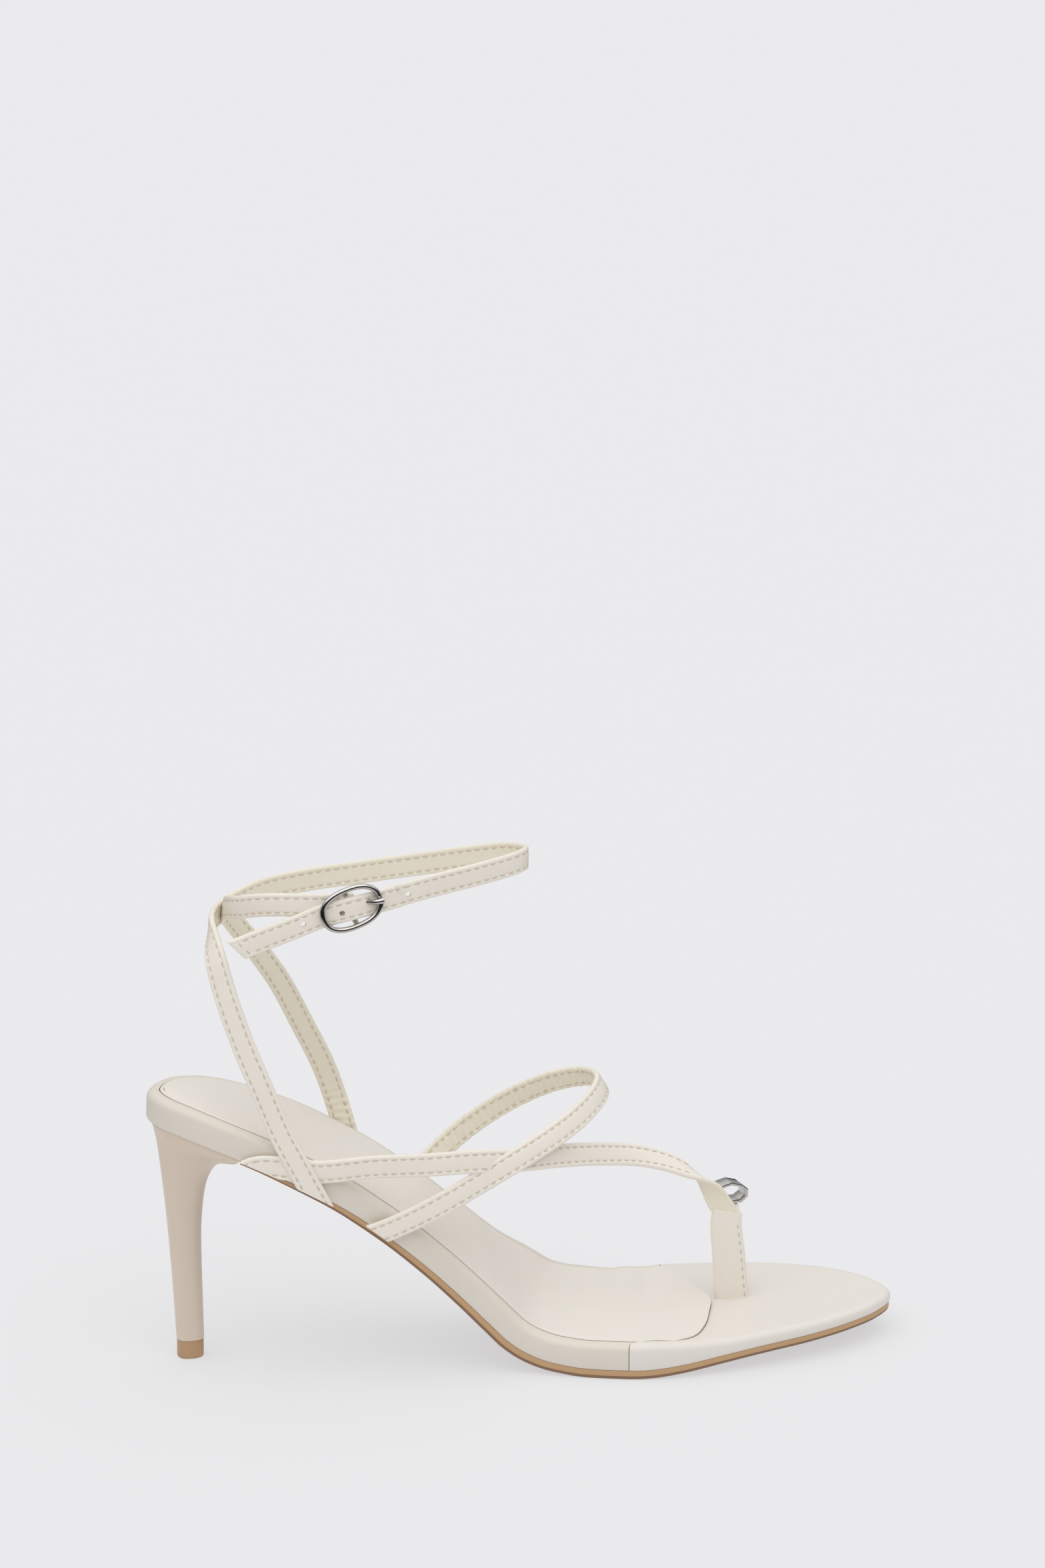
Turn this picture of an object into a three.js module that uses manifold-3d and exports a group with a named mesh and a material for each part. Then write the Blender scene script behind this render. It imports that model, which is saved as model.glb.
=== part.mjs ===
// A right shoe: a strappy toe-post sandal on a slim high heel, in millimetres.
// +X runs from the heel to the toe, +Y to the inner side of the foot, +Z up from the floor.
import * as THREE from 'three';
import { mergeVertices } from 'three/addons/utils/BufferGeometryUtils.js';
import Module from 'manifold-3d';

const wasm = await Module();
wasm.setup();

// Driving sizes of the bottom: the last's length and widths, and how high it stands.
const shoeLength = 228;
const ballWidth = 75.5;
const waistWidth = 46.5;
const seatWidth = 54;
const heelRise = 73.4;
const toeSpring = 6.2;
const wallHeight = 7.3;
const outsoleThickness = 3;
const outsoleSetback = 0.3;
const outsoleBevel = 0.8;
const rimWidth = 3.4;
const rimRoll = 2.3;
const sockThickness = 1.7;
const sockProud = 0.45;
const sockRound = 0.5;
const sockCushion = 0.6;
const coverThickness = 0.9;

// Driving sizes of the heel.
const heelSet = 8.4;
const heelSeatLength = 25.4;
const heelSeatInset = 0.8;
const heelTipLength = 8.4;
const heelTipWidth = 9;
const topPieceHeight = 5.8;
const topPieceSetback = 0.15;

// Driving sizes of the straps.
const strapWidth = 7.2;
const strapThickness = 1.6;
const strapPress = 0.35;
const ankleLoopBack = 21;
const ankleLoopLength = 95;
const ankleLoopWidth = 39;
const ankleRise = 69;
const instepRise = 70.4;
const postWidth = 10.6;
const postTopWidth = 9.1;
const postThickness = 2.8;
const postHeight = 28;
const postDepth = 2;

// Driving sizes of the buckle and the ring.
const buckleLength = 19.8;
const buckleWidth = 13.5;
const buckleWire = 1.7;
const buckleTilt = 19;
const buckleSquareness = 2.35;
const barWire = 1.6;
const foldThickness = 1.2;
const prongWire = 1.7;
const prongFold = 0.9;
const holeDiameter = 1.7;
const ringLength = 11;
const ringHeight = 6.8;
const ringDepth = 5.8;
const ringWall = 1;
const ringAhead = 2.2;
const ringLift = 1.4;
const ringTurn = 14;
const ringBack = 0.9;
const tabWidth = 4.2;

// What is left between two pieces that meet.
const gap = 0.3;

// How finely the shapes are cut into facets.
const stepsPerRow = 2;
const fillColumns = 5;
const strapStep = 4.6;
const twistStep = 3;
const tabStep = 1.8;
const heelSides = 28;
const seatColumns = 4;
const wireSides = 8;

const radians = THREE.MathUtils.degToRad;

// A smooth curve through a table's rows that never overshoots them.
function smooth(rows, value) {
  const last = rows.length - 1;
  const x = rows.map((row) => row.at);
  const y = rows.map(value);
  const slope = x.slice(1).map((next, i) => (y[i + 1] - y[i]) / (next - x[i]));
  const tangent = x.map((_, i) => {
    if (i === 0) return slope[0];
    if (i === last) return slope[last - 1];
    if (slope[i - 1] * slope[i] <= 0) return 0;
    return (2 * slope[i - 1] * slope[i]) / (slope[i - 1] + slope[i]);
  });
  return (at) => {
    if (at <= x[0]) return y[0];
    if (at >= x[last]) return y[last];
    const i = x.findIndex((next) => next > at) - 1;
    const span = x[i + 1] - x[i];
    const t = (at - x[i]) / span;
    const rise = (3 - 2 * t) * t * t;
    const bend = tangent[i] * (1 - t) * (1 - t) * t - tangent[i + 1] * (1 - t) * t * t;
    return y[i] + (y[i + 1] - y[i]) * rise + bend * span;
  };
}

// The sole's outline: half widths as shares of the named width, outer side and inner side.
const OUTLINE = [
  { at: 0.011, of: seatWidth, outer: 0.165, inner: 0.165 },
  { at: 0.039, of: seatWidth, outer: 0.32, inner: 0.32 },
  { at: 0.088, of: seatWidth, outer: 0.445, inner: 0.445 },
  { at: 0.167, of: seatWidth, outer: 0.502, inner: 0.498 },
  { at: 0.254, of: seatWidth, outer: 0.49, inner: 0.465 },
  { at: 0.333, of: waistWidth, outer: 0.545, inner: 0.48 },
  { at: 0.404, of: waistWidth, outer: 0.54, inner: 0.46 },
  { at: 0.474, of: waistWidth, outer: 0.59, inner: 0.515 },
  { at: 0.535, of: ballWidth, outer: 0.415, inner: 0.375 },
  { at: 0.592, of: ballWidth, outer: 0.467, inner: 0.442 },
  { at: 0.649, of: ballWidth, outer: 0.498, inner: 0.494 },
  { at: 0.702, of: ballWidth, outer: 0.487, inner: 0.523 },
  { at: 0.763, of: ballWidth, outer: 0.445, inner: 0.517 },
  { at: 0.825, of: ballWidth, outer: 0.384, inner: 0.485 },
  { at: 0.88, of: ballWidth, outer: 0.315, inner: 0.437 },
  { at: 0.934, of: ballWidth, outer: 0.215, inner: 0.352 },
  { at: 0.977, of: ballWidth, outer: 0.098, inner: 0.225 },
];
const toeTipAside = 0.035;

// The underside of the platform along the middle: shares of the heel's rise and of the toe spring.
const PROFILE = [
  { at: 0, heel: 1, toe: 0 },
  { at: 0.035, heel: 0.991, toe: 0 },
  { at: 0.062, heel: 0.974, toe: 0 },
  { at: 0.1, heel: 0.938, toe: 0 },
  { at: 0.137, heel: 0.895, toe: 0 },
  { at: 0.17, heel: 0.852, toe: 0 },
  { at: 0.219, heel: 0.781, toe: 0 },
  { at: 0.272, heel: 0.694, toe: 0 },
  { at: 0.329, heel: 0.572, toe: 0 },
  { at: 0.386, heel: 0.425, toe: 0 },
  { at: 0.439, heel: 0.271, toe: 0 },
  { at: 0.474, heel: 0.168, toe: 0 },
  { at: 0.5, heel: 0.101, toe: 0 },
  { at: 0.535, heel: 0.048, toe: 0 },
  { at: 0.575, heel: 0.014, toe: 0 },
  { at: 0.62, heel: 0, toe: 0 },
  { at: 0.662, heel: 0, toe: 0 },
  { at: 0.702, heel: 0, toe: 0.19 },
  { at: 0.754, heel: 0, toe: 0.47 },
  { at: 0.811, heel: 0, toe: 0.68 },
  { at: 0.877, heel: 0, toe: 0.82 },
  { at: 0.943, heel: 0, toe: 0.92 },
  { at: 1, heel: 0, toe: 1 },
];

// The wall's height and the outsole's thickness along the shoe, as shares of their named sizes,
// and how far the break of the profile slants forward towards the inner side.
const LAYERS = [
  { at: 0, wall: 1.21, outsole: 0.4, slant: 0 },
  { at: 0.06, wall: 1.18, outsole: 0.4, slant: 0.03 },
  { at: 0.12, wall: 1.16, outsole: 0.42, slant: 0.05 },
  { at: 0.2, wall: 1.12, outsole: 0.6, slant: 0.11 },
  { at: 0.28, wall: 1, outsole: 0.82, slant: 0.18 },
  { at: 0.36, wall: 0.97, outsole: 0.9, slant: 0.215 },
  { at: 0.45, wall: 0.98, outsole: 0.96, slant: 0.24 },
  { at: 0.51, wall: 1.02, outsole: 1, slant: 0.33 },
  { at: 0.6, wall: 1.1, outsole: 1, slant: 0.32 },
  { at: 0.65, wall: 1.1, outsole: 1, slant: 0.15 },
  { at: 0.7, wall: 0.9, outsole: 0.97, slant: 0.03 },
  { at: 0.77, wall: 0.6, outsole: 0.93, slant: 0 },
  { at: 0.86, wall: 0.48, outsole: 0.9, slant: 0 },
  { at: 1, wall: 0.42, outsole: 0.87, slant: 0 },
];

const riseAt = smooth(PROFILE, (row) => outsoleThickness + heelRise * row.heel + toeSpring * row.toe);
const wallShare = smooth(LAYERS, (row) => row.wall);
const outsoleShare = smooth(LAYERS, (row) => row.outsole);
const slantAt = smooth(LAYERS, (row) => row.slant);
const wallAt = (x) => wallHeight * wallShare(x / shoeLength);
const outsoleAt = (x) => outsoleThickness * outsoleShare(x / shoeLength);

// Height of the platform's underside at a place in plan, and the direction square to it.
function soleZ(x, y) {
  return riseAt((x - slantAt(x / shoeLength) * y) / shoeLength);
}

function squareToSole(x, y) {
  const reach = 1;
  const slope = (soleZ(x + reach, y) - soleZ(x - reach, y)) / (2 * reach);
  return new THREE.Vector3(-slope, 0, 1).normalize();
}

function aboveSole(x, y, lift) {
  return squareToSole(x, y).multiplyScalar(lift).add(new THREE.Vector3(x, y, soleZ(x, y)));
}

// The outline as a closed ring of plan points: heel, outer side, toe, inner side.
function outlineRing() {
  const side = (name, sign) => OUTLINE.map(
    (row) => new THREE.Vector3(row.at * shoeLength, sign * row[name] * row.of, 0));
  const toe = new THREE.Vector3(shoeLength, toeTipAside * ballWidth, 0);
  const points = [new THREE.Vector3(), ...side('outer', -1), toe, ...side('inner', 1).reverse()];
  const curve = new THREE.CatmullRomCurve3(points, true, 'centripetal');
  const count = points.length * stepsPerRow;
  return Array.from({ length: count }, (_, i) => curve.getPoint(i / count));
}

const OUTLINE_RING = outlineRing();

function insetRing(inset) {
  const count = OUTLINE_RING.length;
  return OUTLINE_RING.map((point, i) => {
    const before = OUTLINE_RING[(i + count - 1) % count];
    const after = OUTLINE_RING[(i + 1) % count];
    const along = after.clone().sub(before).normalize();
    return new THREE.Vector3(point.x - along.y * inset, point.y + along.x * inset, 0);
  });
}

// How far the outline reaches from the middle line at x: side is -1 outside, 1 inside.
function edgeAt(x, side) {
  const half = OUTLINE_RING.length / 2;
  const run = OUTLINE_RING.filter((_, i) => (side < 0 ? i <= half : i >= half || i === 0));
  const ordered = run.slice().sort((a, b) => a.x - b.x);
  const next = Math.max(1, ordered.findIndex((point) => point.x > x));
  const [a, b] = [ordered[next - 1], ordered[next]];
  return THREE.MathUtils.lerp(a.y, b.y, (x - a.x) / (b.x - a.x));
}

// Meshes of triangles, and their joins and cuts.
function indexed(positions, triangles) {
  const geometry = new THREE.BufferGeometry();
  geometry.setAttribute('position', new THREE.Float32BufferAttribute(positions, 3));
  geometry.setIndex(triangles);
  return geometry;
}

function solid(geometry) {
  const bare = geometry.clone();
  ['normal', 'uv'].forEach((name) => bare.deleteAttribute(name));
  const merged = mergeVertices(bare, 1e-4);
  const mesh = new wasm.Mesh({
    numProp: 3,
    vertProperties: new Float32Array(merged.attributes.position.array),
    triVerts: new Uint32Array(merged.index.array),
  });
  return new wasm.Manifold(mesh);
}

function geometryOf(manifold) {
  const mesh = manifold.getMesh();
  return indexed(Array.from(mesh.vertProperties), Array.from(mesh.triVerts));
}

const union = (solids) => solids.reduce((sum, next) => sum.add(next));

// Closed skin over a stack of rings of equal length; caps close its two ends.
function loft(rings, capFirst, capLast) {
  const count = rings[0].length;
  const positions = rings.flat().flatMap((point) => point.toArray());
  const triangles = rings.slice(1).flatMap((_, i) => skin(i * count, (i + 1) * count, count));
  capFirst(positions, triangles, 0, true);
  capLast(positions, triangles, (rings.length - 1) * count, false);
  return indexed(positions, triangles);
}

// The same, with the last ring joined back to the first.
function hoop(rings) {
  const count = rings[0].length;
  const positions = rings.flat().flatMap((point) => point.toArray());
  const next = (i) => ((i + 1) % rings.length) * count;
  return indexed(positions, rings.flatMap((_, i) => skin(i * count, next(i), count)));
}

// Triangles between two rings whose points start at the given places in the list.
function skin(first, second, count) {
  return Array.from({ length: count }, (_, i) => {
    const next = (i + 1) % count;
    const [a, b, c, d] = [first + i, first + next, second + next, second + i];
    return [a, b, c, a, c, d];
  }).flat();
}

// A cap that fans out from the first point of a flat, convex ring.
function fanCap(count) {
  return (positions, triangles, start, flip) => {
    for (let i = 1; i < count - 1; i += 1) {
      const [b, c] = flip ? [start + i + 1, start + i] : [start + i, start + i + 1];
      triangles.push(start, b, c);
    }
  };
}

// A cap of columns from each outer point to the inner point across from it, shaped by place().
function ladderCap(count, columns, place) {
  return (positions, triangles, start, flip) => {
    const half = count / 2;
    const point = (index) => new THREE.Vector3().fromArray(positions, 3 * index);
    const rows = [];
    for (let i = 1; i < half; i += 1) {
      const [outer, inner] = [start + i, start + count - i];
      const [a, b] = [point(outer), point(inner)];
      const row = [outer];
      for (let column = 1; column < columns; column += 1) {
        row.push(positions.length / 3);
        positions.push(...place(a, b, column / columns).toArray());
      }
      rows.push([...row, inner]);
    }
    const add = (a, b, c) => (flip ? triangles.push(a, c, b) : triangles.push(a, b, c));
    for (let column = 0; column < columns; column += 1) {
      add(start, rows[0][column], rows[0][column + 1]);
      for (let i = 0; i < rows.length - 1; i += 1) {
        const [a, b] = [rows[i][column], rows[i][column + 1]];
        const [c, d] = [rows[i + 1][column], rows[i + 1][column + 1]];
        add(a, c, d);
        add(a, d, b);
      }
      add(start + half, rows.at(-1)[column + 1], rows.at(-1)[column]);
    }
  };
}

// A layer of the bottom: rings at an inset from the outline and a lift from the sole's line,
// listed from below to above. The last ring may swell towards the middle by its crown.
function layer(rings, crown = () => 0) {
  const placed = rings.map(({ inset, lift }) => {
    const plan = insetRing(inset);
    return plan.map((point) => aboveSole(point.x, point.y, lift(point.x)));
  });
  const plans = rings.map(({ inset }) => insetRing(inset));
  const across = (plan, lift, swell) => {
    const count = plan.length;
    return (positions, triangles, start, flip) => {
      let next = 0;
      const cap = ladderCap(count, fillColumns, () => {
        const i = 1 + Math.floor(next / (fillColumns - 1));
        const share = (1 + (next % (fillColumns - 1))) / fillColumns;
        next += 1;
        const spot = plan[i].clone().lerp(plan[count - i], share);
        const bulge = swell(spot.x) * 4 * share * (1 - share);
        return aboveSole(spot.x, spot.y, lift(spot.x) + bulge);
      });
      cap(positions, triangles, start, flip);
    };
  };
  const first = across(plans[0], rings[0].lift, () => 0);
  const last = across(plans.at(-1), rings.at(-1).lift, crown);
  return solid(loft(placed, first, last));
}

// Half the height of the wall is the most that its rolled rim may take.
const rollAt = (x) => Math.min(rimRoll, 0.5 * wallAt(x));

// The platform's outer form with its rolled rim, drawn in or let out by grow, and how far it
// goes on below the sole's line.
function platformForm(grow, below = 0) {
  return layer([
    { inset: 0.15 * rimRoll - grow, lift: () => -below },
    { inset: -grow, lift: (x) => 0.35 * rollAt(x) },
    { inset: -grow, lift: (x) => wallAt(x) - rollAt(x) + 0.3 * grow },
    { inset: 0.3 * rimRoll - grow, lift: (x) => wallAt(x) - 0.32 * rollAt(x) + 0.8 * grow },
    { inset: 0.85 * rimRoll - grow, lift: (x) => wallAt(x) - 0.05 * rollAt(x) + grow },
    { inset: rimWidth - grow, lift: (x) => wallAt(x) + grow },
  ]);
}

// The seam between the sock and the toe cover, from the outer wall across to the inner wall:
// its place along the shoe, and its distance from the middle as a share of the ball's width.
const COVER_SEAM = [
  { at: 0.63, aside: -0.7 },
  { at: 0.63, aside: -0.462 },
  { at: 0.66, aside: -0.447 },
  { at: 0.695, aside: -0.437 },
  { at: 0.717, aside: -0.398 },
  { at: 0.737, aside: -0.27 },
  { at: 0.748, aside: -0.13 },
  { at: 0.756, aside: 0.035 },
  { at: 0.737, aside: 0.235 },
  { at: 0.708, aside: 0.47 },
  { at: 0.704, aside: 0.7 },
];

// Everything ahead of the seam, as a tall block moved back by the given amount.
function aheadOfSeam(back) {
  const tall = 2 * shoeLength;
  const seam = COVER_SEAM.map((row) => new THREE.Vector2(row.at * shoeLength - back, row.aside * ballWidth));
  const far = 1.2 * shoeLength;
  const corners = [new THREE.Vector2(far, seam.at(-1).y), new THREE.Vector2(far, seam[0].y)];
  const block = new THREE.ExtrudeGeometry(new THREE.Shape([...seam, ...corners]), {
    depth: tall, bevelEnabled: false, steps: 1,
  });
  return solid(block.translate(0, 0, -tall / 2));
}

const deckDrop = (x) => Math.min(sockThickness + gap, 0.6 * wallAt(x));

// The bed that the sock lies in, down to the deck, and the sock itself.
function sockBed() {
  const above = 4 * wallHeight;
  return layer([
    { inset: rimWidth, lift: (x) => wallAt(x) - deckDrop(x) },
    { inset: rimWidth, lift: () => above },
  ]);
}

function sockForm() {
  const edge = rimWidth + gap;
  const under = (x) => wallAt(x) - deckDrop(x) + gap;
  return layer([
    { inset: edge, lift: under },
    { inset: edge, lift: (x) => wallAt(x) + sockProud - sockRound },
    { inset: edge + 0.4 * sockRound, lift: (x) => wallAt(x) + sockProud - 0.2 * sockRound },
    { inset: edge + 2 * sockRound, lift: (x) => wallAt(x) + sockProud },
  ], () => sockCushion);
}

function outsoleForm(grow) {
  return layer([
    { inset: outsoleSetback + outsoleBevel - grow, lift: (x) => -outsoleAt(x) - grow },
    { inset: outsoleSetback - grow, lift: (x) => -0.6 * outsoleAt(x) },
    { inset: outsoleSetback - grow, lift: () => -gap + grow },
  ]);
}

// A box from one corner to the other.
function boxBetween(low, high) {
  const size = new THREE.Vector3().subVectors(high, low);
  const centre = new THREE.Vector3().addVectors(low, high).multiplyScalar(0.5);
  return solid(new THREE.BoxGeometry(size.x, size.y, size.z).translate(...centre.toArray()));
}

// The heel's sections from the seat down: how far forward its back edge stands, and its length
// and half width between those of the tip (0) and of the seat (1).
const HEEL = [
  { down: 0, set: 0.13, reach: 1, flare: 1, widest: 0.97, back: 2, front: 6 },
  { down: 0.035, set: 0.24, reach: 0.93, flare: 0.88, widest: 0.9, back: 2, front: 4.5 },
  { down: 0.1, set: 0.36, reach: 0.64, flare: 0.53, widest: 0.72, back: 2.1, front: 3.4 },
  { down: 0.17, set: 0.44, reach: 0.45, flare: 0.345, widest: 0.6, back: 2.2, front: 3 },
  { down: 0.25, set: 0.52, reach: 0.306, flare: 0.235, widest: 0.52, back: 2.3, front: 2.8 },
  { down: 0.36, set: 0.62, reach: 0.19, flare: 0.155, widest: 0.46, back: 2.4, front: 2.6 },
  { down: 0.5, set: 0.727, reach: 0.103, flare: 0.097, widest: 0.42, back: 2.5, front: 2.5 },
  { down: 0.68, set: 0.84, reach: 0.053, flare: 0.05, widest: 0.4, back: 2.6, front: 2.4 },
  { down: 0.85, set: 0.93, reach: 0.022, flare: 0.02, widest: 0.38, back: 2.6, front: 2.4 },
  { down: 1, set: 1, reach: 0, flare: 0, widest: 0.38, back: 2.6, front: 2.4 },
];

function heelRing(row, place, setback = 0) {
  const back = heelSet * row.set + setback;
  const length = THREE.MathUtils.lerp(heelTipLength, heelSeatLength, row.reach) - 2 * setback;
  const seatHalf = seatWidth / 2 - heelSeatInset;
  const half = THREE.MathUtils.lerp(heelTipWidth / 2, seatHalf, row.flare) - setback;
  const middle = back + length * row.widest;
  return Array.from({ length: heelSides }, (_, i) => {
    const turn = (2 * Math.PI * i) / heelSides;
    const [c, s] = [-Math.cos(turn), -Math.sin(turn)];
    const power = 2 / (c < 0 ? row.back : row.front);
    const run = c < 0 ? middle - back : back + length - middle;
    const x = middle + Math.sign(c) * run * Math.abs(c) ** power;
    const reach = half * Math.abs(s) ** power;
    const side = s < 0 ? -1 : 1;
    const limit = Math.abs(edgeAt(x, side)) - heelSeatInset;
    const y = side * Math.min(reach, limit);
    return new THREE.Vector3(x, y, place(x, y));
  });
}

function heelForm() {
  const low = topPieceHeight + gap;
  const rings = HEEL.slice().reverse().map((row) => heelRing(
    row, (x, y) => THREE.MathUtils.lerp(soleZ(x, y) - gap, low, row.down)));
  const onSeat = (a, b, share) => {
    const spot = a.clone().lerp(b, share);
    return spot.setZ(soleZ(spot.x, spot.y) - gap);
  };
  return solid(loft(rings, fanCap(heelSides), ladderCap(heelSides, seatColumns, onSeat)));
}

function topPieceForm() {
  const bevel = 0.06 * topPieceHeight;
  const levels = [
    { z: 0, setback: topPieceSetback + bevel },
    { z: bevel, setback: topPieceSetback },
    { z: topPieceHeight, setback: topPieceSetback },
  ];
  const rings = levels.map(({ z, setback }) => heelRing(HEEL.at(-1), () => z, setback));
  return solid(loft(rings, fanCap(heelSides), fanCap(heelSides)));
}

// Straps. A row of a strap gives a place, the way its outer face looks and its number of layers.
const seatTop = outsoleThickness + heelRise + wallAt(0);
const ballTop = outsoleThickness + wallHeight;

// Beside the wall: at is a share of the shoe's length, and up the lift above the sole's line as a
// share of the wall's height.
function onWall({ at, side, up, over = 0 }) {
  const x = at * shoeLength;
  const out = gap + strapThickness / 2 + over * (strapThickness - strapPress);
  const y = edgeAt(x, side) + side * out;
  const place = new THREE.Vector3(x, y, soleZ(x, edgeAt(x, side)) + up * wallHeight);
  return { place, face: facing(90 * side, 0) };
}

function facing(turn, rise) {
  const [a, b] = [radians(turn), radians(rise)];
  return new THREE.Vector3(Math.cos(a) * Math.cos(b), Math.sin(a) * Math.cos(b), Math.sin(b));
}

// Round the ankle: shares of the loop's length, half width and rise above the seat.
function roundAnkle({ along, aside, up, turn, rise = 0, over = 0 }) {
  const face = facing(turn, rise);
  const place = new THREE.Vector3(
    ankleLoopBack + along * ankleLoopLength, aside * ankleLoopWidth / 2, seatTop + up * ankleRise);
  return { place: place.addScaledVector(face, over * (strapThickness - strapPress)), face };
}

// Over the instep: shares of the shoe's length, half the ball's width and the loop's rise.
function overInstep({ along, aside, up, turn, rise = 0, over = 0 }) {
  const face = facing(turn, rise);
  const place = new THREE.Vector3(
    along * shoeLength, aside * ballWidth / 2, ballTop + up * instepRise);
  return { place: place.addScaledVector(face, over * (strapThickness - strapPress)), face };
}

const plainStrap = () => ({ width: strapWidth, thickness: strapThickness });

// A strap through its rows. Its width and thickness may change from row to row.
function strap(rows, shape = plainStrap, step = strapStep) {
  const path = new THREE.CatmullRomCurve3(rows.map((row) => row.place), false, 'centripetal');
  const faces = new THREE.CatmullRomCurve3(rows.map((row) => row.face), false, 'centripetal');
  const count = Math.ceil(path.getLength() / step);
  const rings = Array.from({ length: count + 1 }, (_, i) => {
    const t = path.getUtoTmapping(i / count);
    const along = path.getTangent(t);
    const out = faces.getPoint(t).normalize();
    out.addScaledVector(along, -out.dot(along)).normalize();
    const across = new THREE.Vector3().crossVectors(out, along);
    const { width, thickness } = shape(t * (rows.length - 1));
    return strapRing(path.getPoint(t), across, out, width, thickness);
  });
  return solid(loft(rings, fanCap(rings[0].length), fanCap(rings[0].length)));
}

// The strap's section: a flat band with its long edges rounded.
function strapRing(centre, across, out, width, thickness) {
  const [w, t] = [width / 2, thickness / 2];
  const edge = 0.6 * t;
  const corners = [[-w, -t + edge], [-w, t - edge], [-w + edge, t], [w - edge, t],
    [w, t - edge], [w, -t + edge], [w - edge, -t], [-w + edge, -t]];
  return corners.map(([a, b]) => centre.clone().addScaledVector(across, a).addScaledVector(out, b)).reverse();
}

// Where the ankle strap and the buckle strap cross behind the heel, and where the strap to the
// toe post runs under the instep loop. Both straps pass through the same place.
const heelCrossing = { along: 0.042, aside: 0.282, up: 0.776, turn: 155 };
const instepCrossing = { along: 0.48, aside: -0.636, up: 0.804, turn: -84, rise: 14 };

// The buckle's own frame: along the strap towards the toe, across it and out of it.
const BUCKLE_SPOT = { along: 0.421, aside: -1, up: 0.882, turn: -83, rise: 2 };
const buckleFrame = (() => {
  const { place, face } = roundAnkle(BUCKLE_SPOT);
  const level = new THREE.Vector3(-face.y, face.x, 0).normalize();
  const along = level.applyAxisAngle(face, radians(buckleTilt));
  const across = new THREE.Vector3().crossVectors(face, along);
  return new THREE.Matrix4().makeBasis(along, across, face).setPosition(place);
})();

// A place near the buckle: shares of half its length and half its width, and a height out of it.
function atBuckle({ along, aside, out }) {
  const place = new THREE.Vector3(along * buckleLength / 2, aside * buckleWidth / 2, out);
  const face = new THREE.Vector3(0, 0, 1).transformDirection(buckleFrame);
  return { place: place.applyMatrix4(buckleFrame), face };
}

// Depths below the middle of the buckle's oval wire, in its own frame.
const ridingDepth = buckleWire / 2 + gap + strapThickness / 2;
const barDepth = ridingDepth + 0.35 * buckleWire;
const eyeRadius = barWire / 2 + gap + foldThickness;
const overBar = eyeRadius + strapThickness / 2 - strapPress - barDepth;

// The long strap: up from the outer wall, round behind the heel, round the ankle and through the
// buckle to its free end.
function ankleStrap() {
  const rows = [
    onWall({ at: 0.2237, side: -1, up: -0.48, over: 1 }),
    onWall({ at: 0.1987, side: -1, up: 0.644, over: 1 }),
    roundAnkle({ along: 0.192, aside: -1.465, up: -0.109, turn: -90 }),
    roundAnkle({ along: 0.12, aside: -1.39, up: 0.137, turn: -93 }),
    roundAnkle({ along: 0.068, aside: -1.265, up: 0.317, turn: -99 }),
    roundAnkle({ along: 0.02, aside: -1.1, up: 0.518, turn: -107 }),
    roundAnkle({ along: -0.006, aside: -0.9, up: 0.66, turn: -118 }),
    roundAnkle({ along: -0.014, aside: -0.56, up: 0.735, turn: -140 }),
    roundAnkle({ along: -0.006, aside: -0.13, up: 0.765, turn: -172 }),
    roundAnkle({ ...heelCrossing, over: 1 }),
    roundAnkle({ along: 0.096, aside: 0.58, up: 0.805, turn: 128 }),
    roundAnkle({ along: 0.177, aside: 0.8, up: 0.83, turn: 112 }),
    roundAnkle({ along: 0.321, aside: 0.94, up: 0.856, turn: 97 }),
    roundAnkle({ along: 0.46, aside: 0.96, up: 0.877, turn: 88 }),
    roundAnkle({ along: 0.596, aside: 0.91, up: 0.903, turn: 82 }),
    roundAnkle({ along: 0.734, aside: 0.77, up: 0.936, turn: 76 }),
    roundAnkle({ along: 0.858, aside: 0.565, up: 0.971, turn: 68 }),
    roundAnkle({ along: 0.945, aside: 0.35, up: 0.996, turn: 55 }),
    roundAnkle({ along: 0.992, aside: 0.07, up: 1.004, turn: 8 }),
    roundAnkle({ along: 0.968, aside: -0.225, up: 1.006, turn: -58 }),
    roundAnkle({ along: 0.873, aside: -0.46, up: 0.988, turn: -68 }),
    roundAnkle({ along: 0.753, aside: -0.665, up: 0.967, turn: -71 }),
    roundAnkle({ along: 0.61, aside: -0.86, up: 0.937, turn: -76 }),
    atBuckle({ along: 1.45, aside: -0.36, out: -ridingDepth }),
    atBuckle({ along: 0.9, aside: -0.27, out: -ridingDepth }),
    atBuckle({ along: 0, aside: 0, out: overBar }),
    atBuckle({ along: -0.93, aside: 0.08, out: -ridingDepth }),
    atBuckle({ along: -1.7, aside: 0.1, out: -ridingDepth + 0.25 * strapThickness }),
    atBuckle({ along: -2.7, aside: 0.17, out: -ridingDepth + 0.75 * strapThickness }),
    atBuckle({ along: -4.1, aside: 0.24, out: -ridingDepth + 1.375 * strapThickness }),
  ];
  return strap(rows);
}

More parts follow.
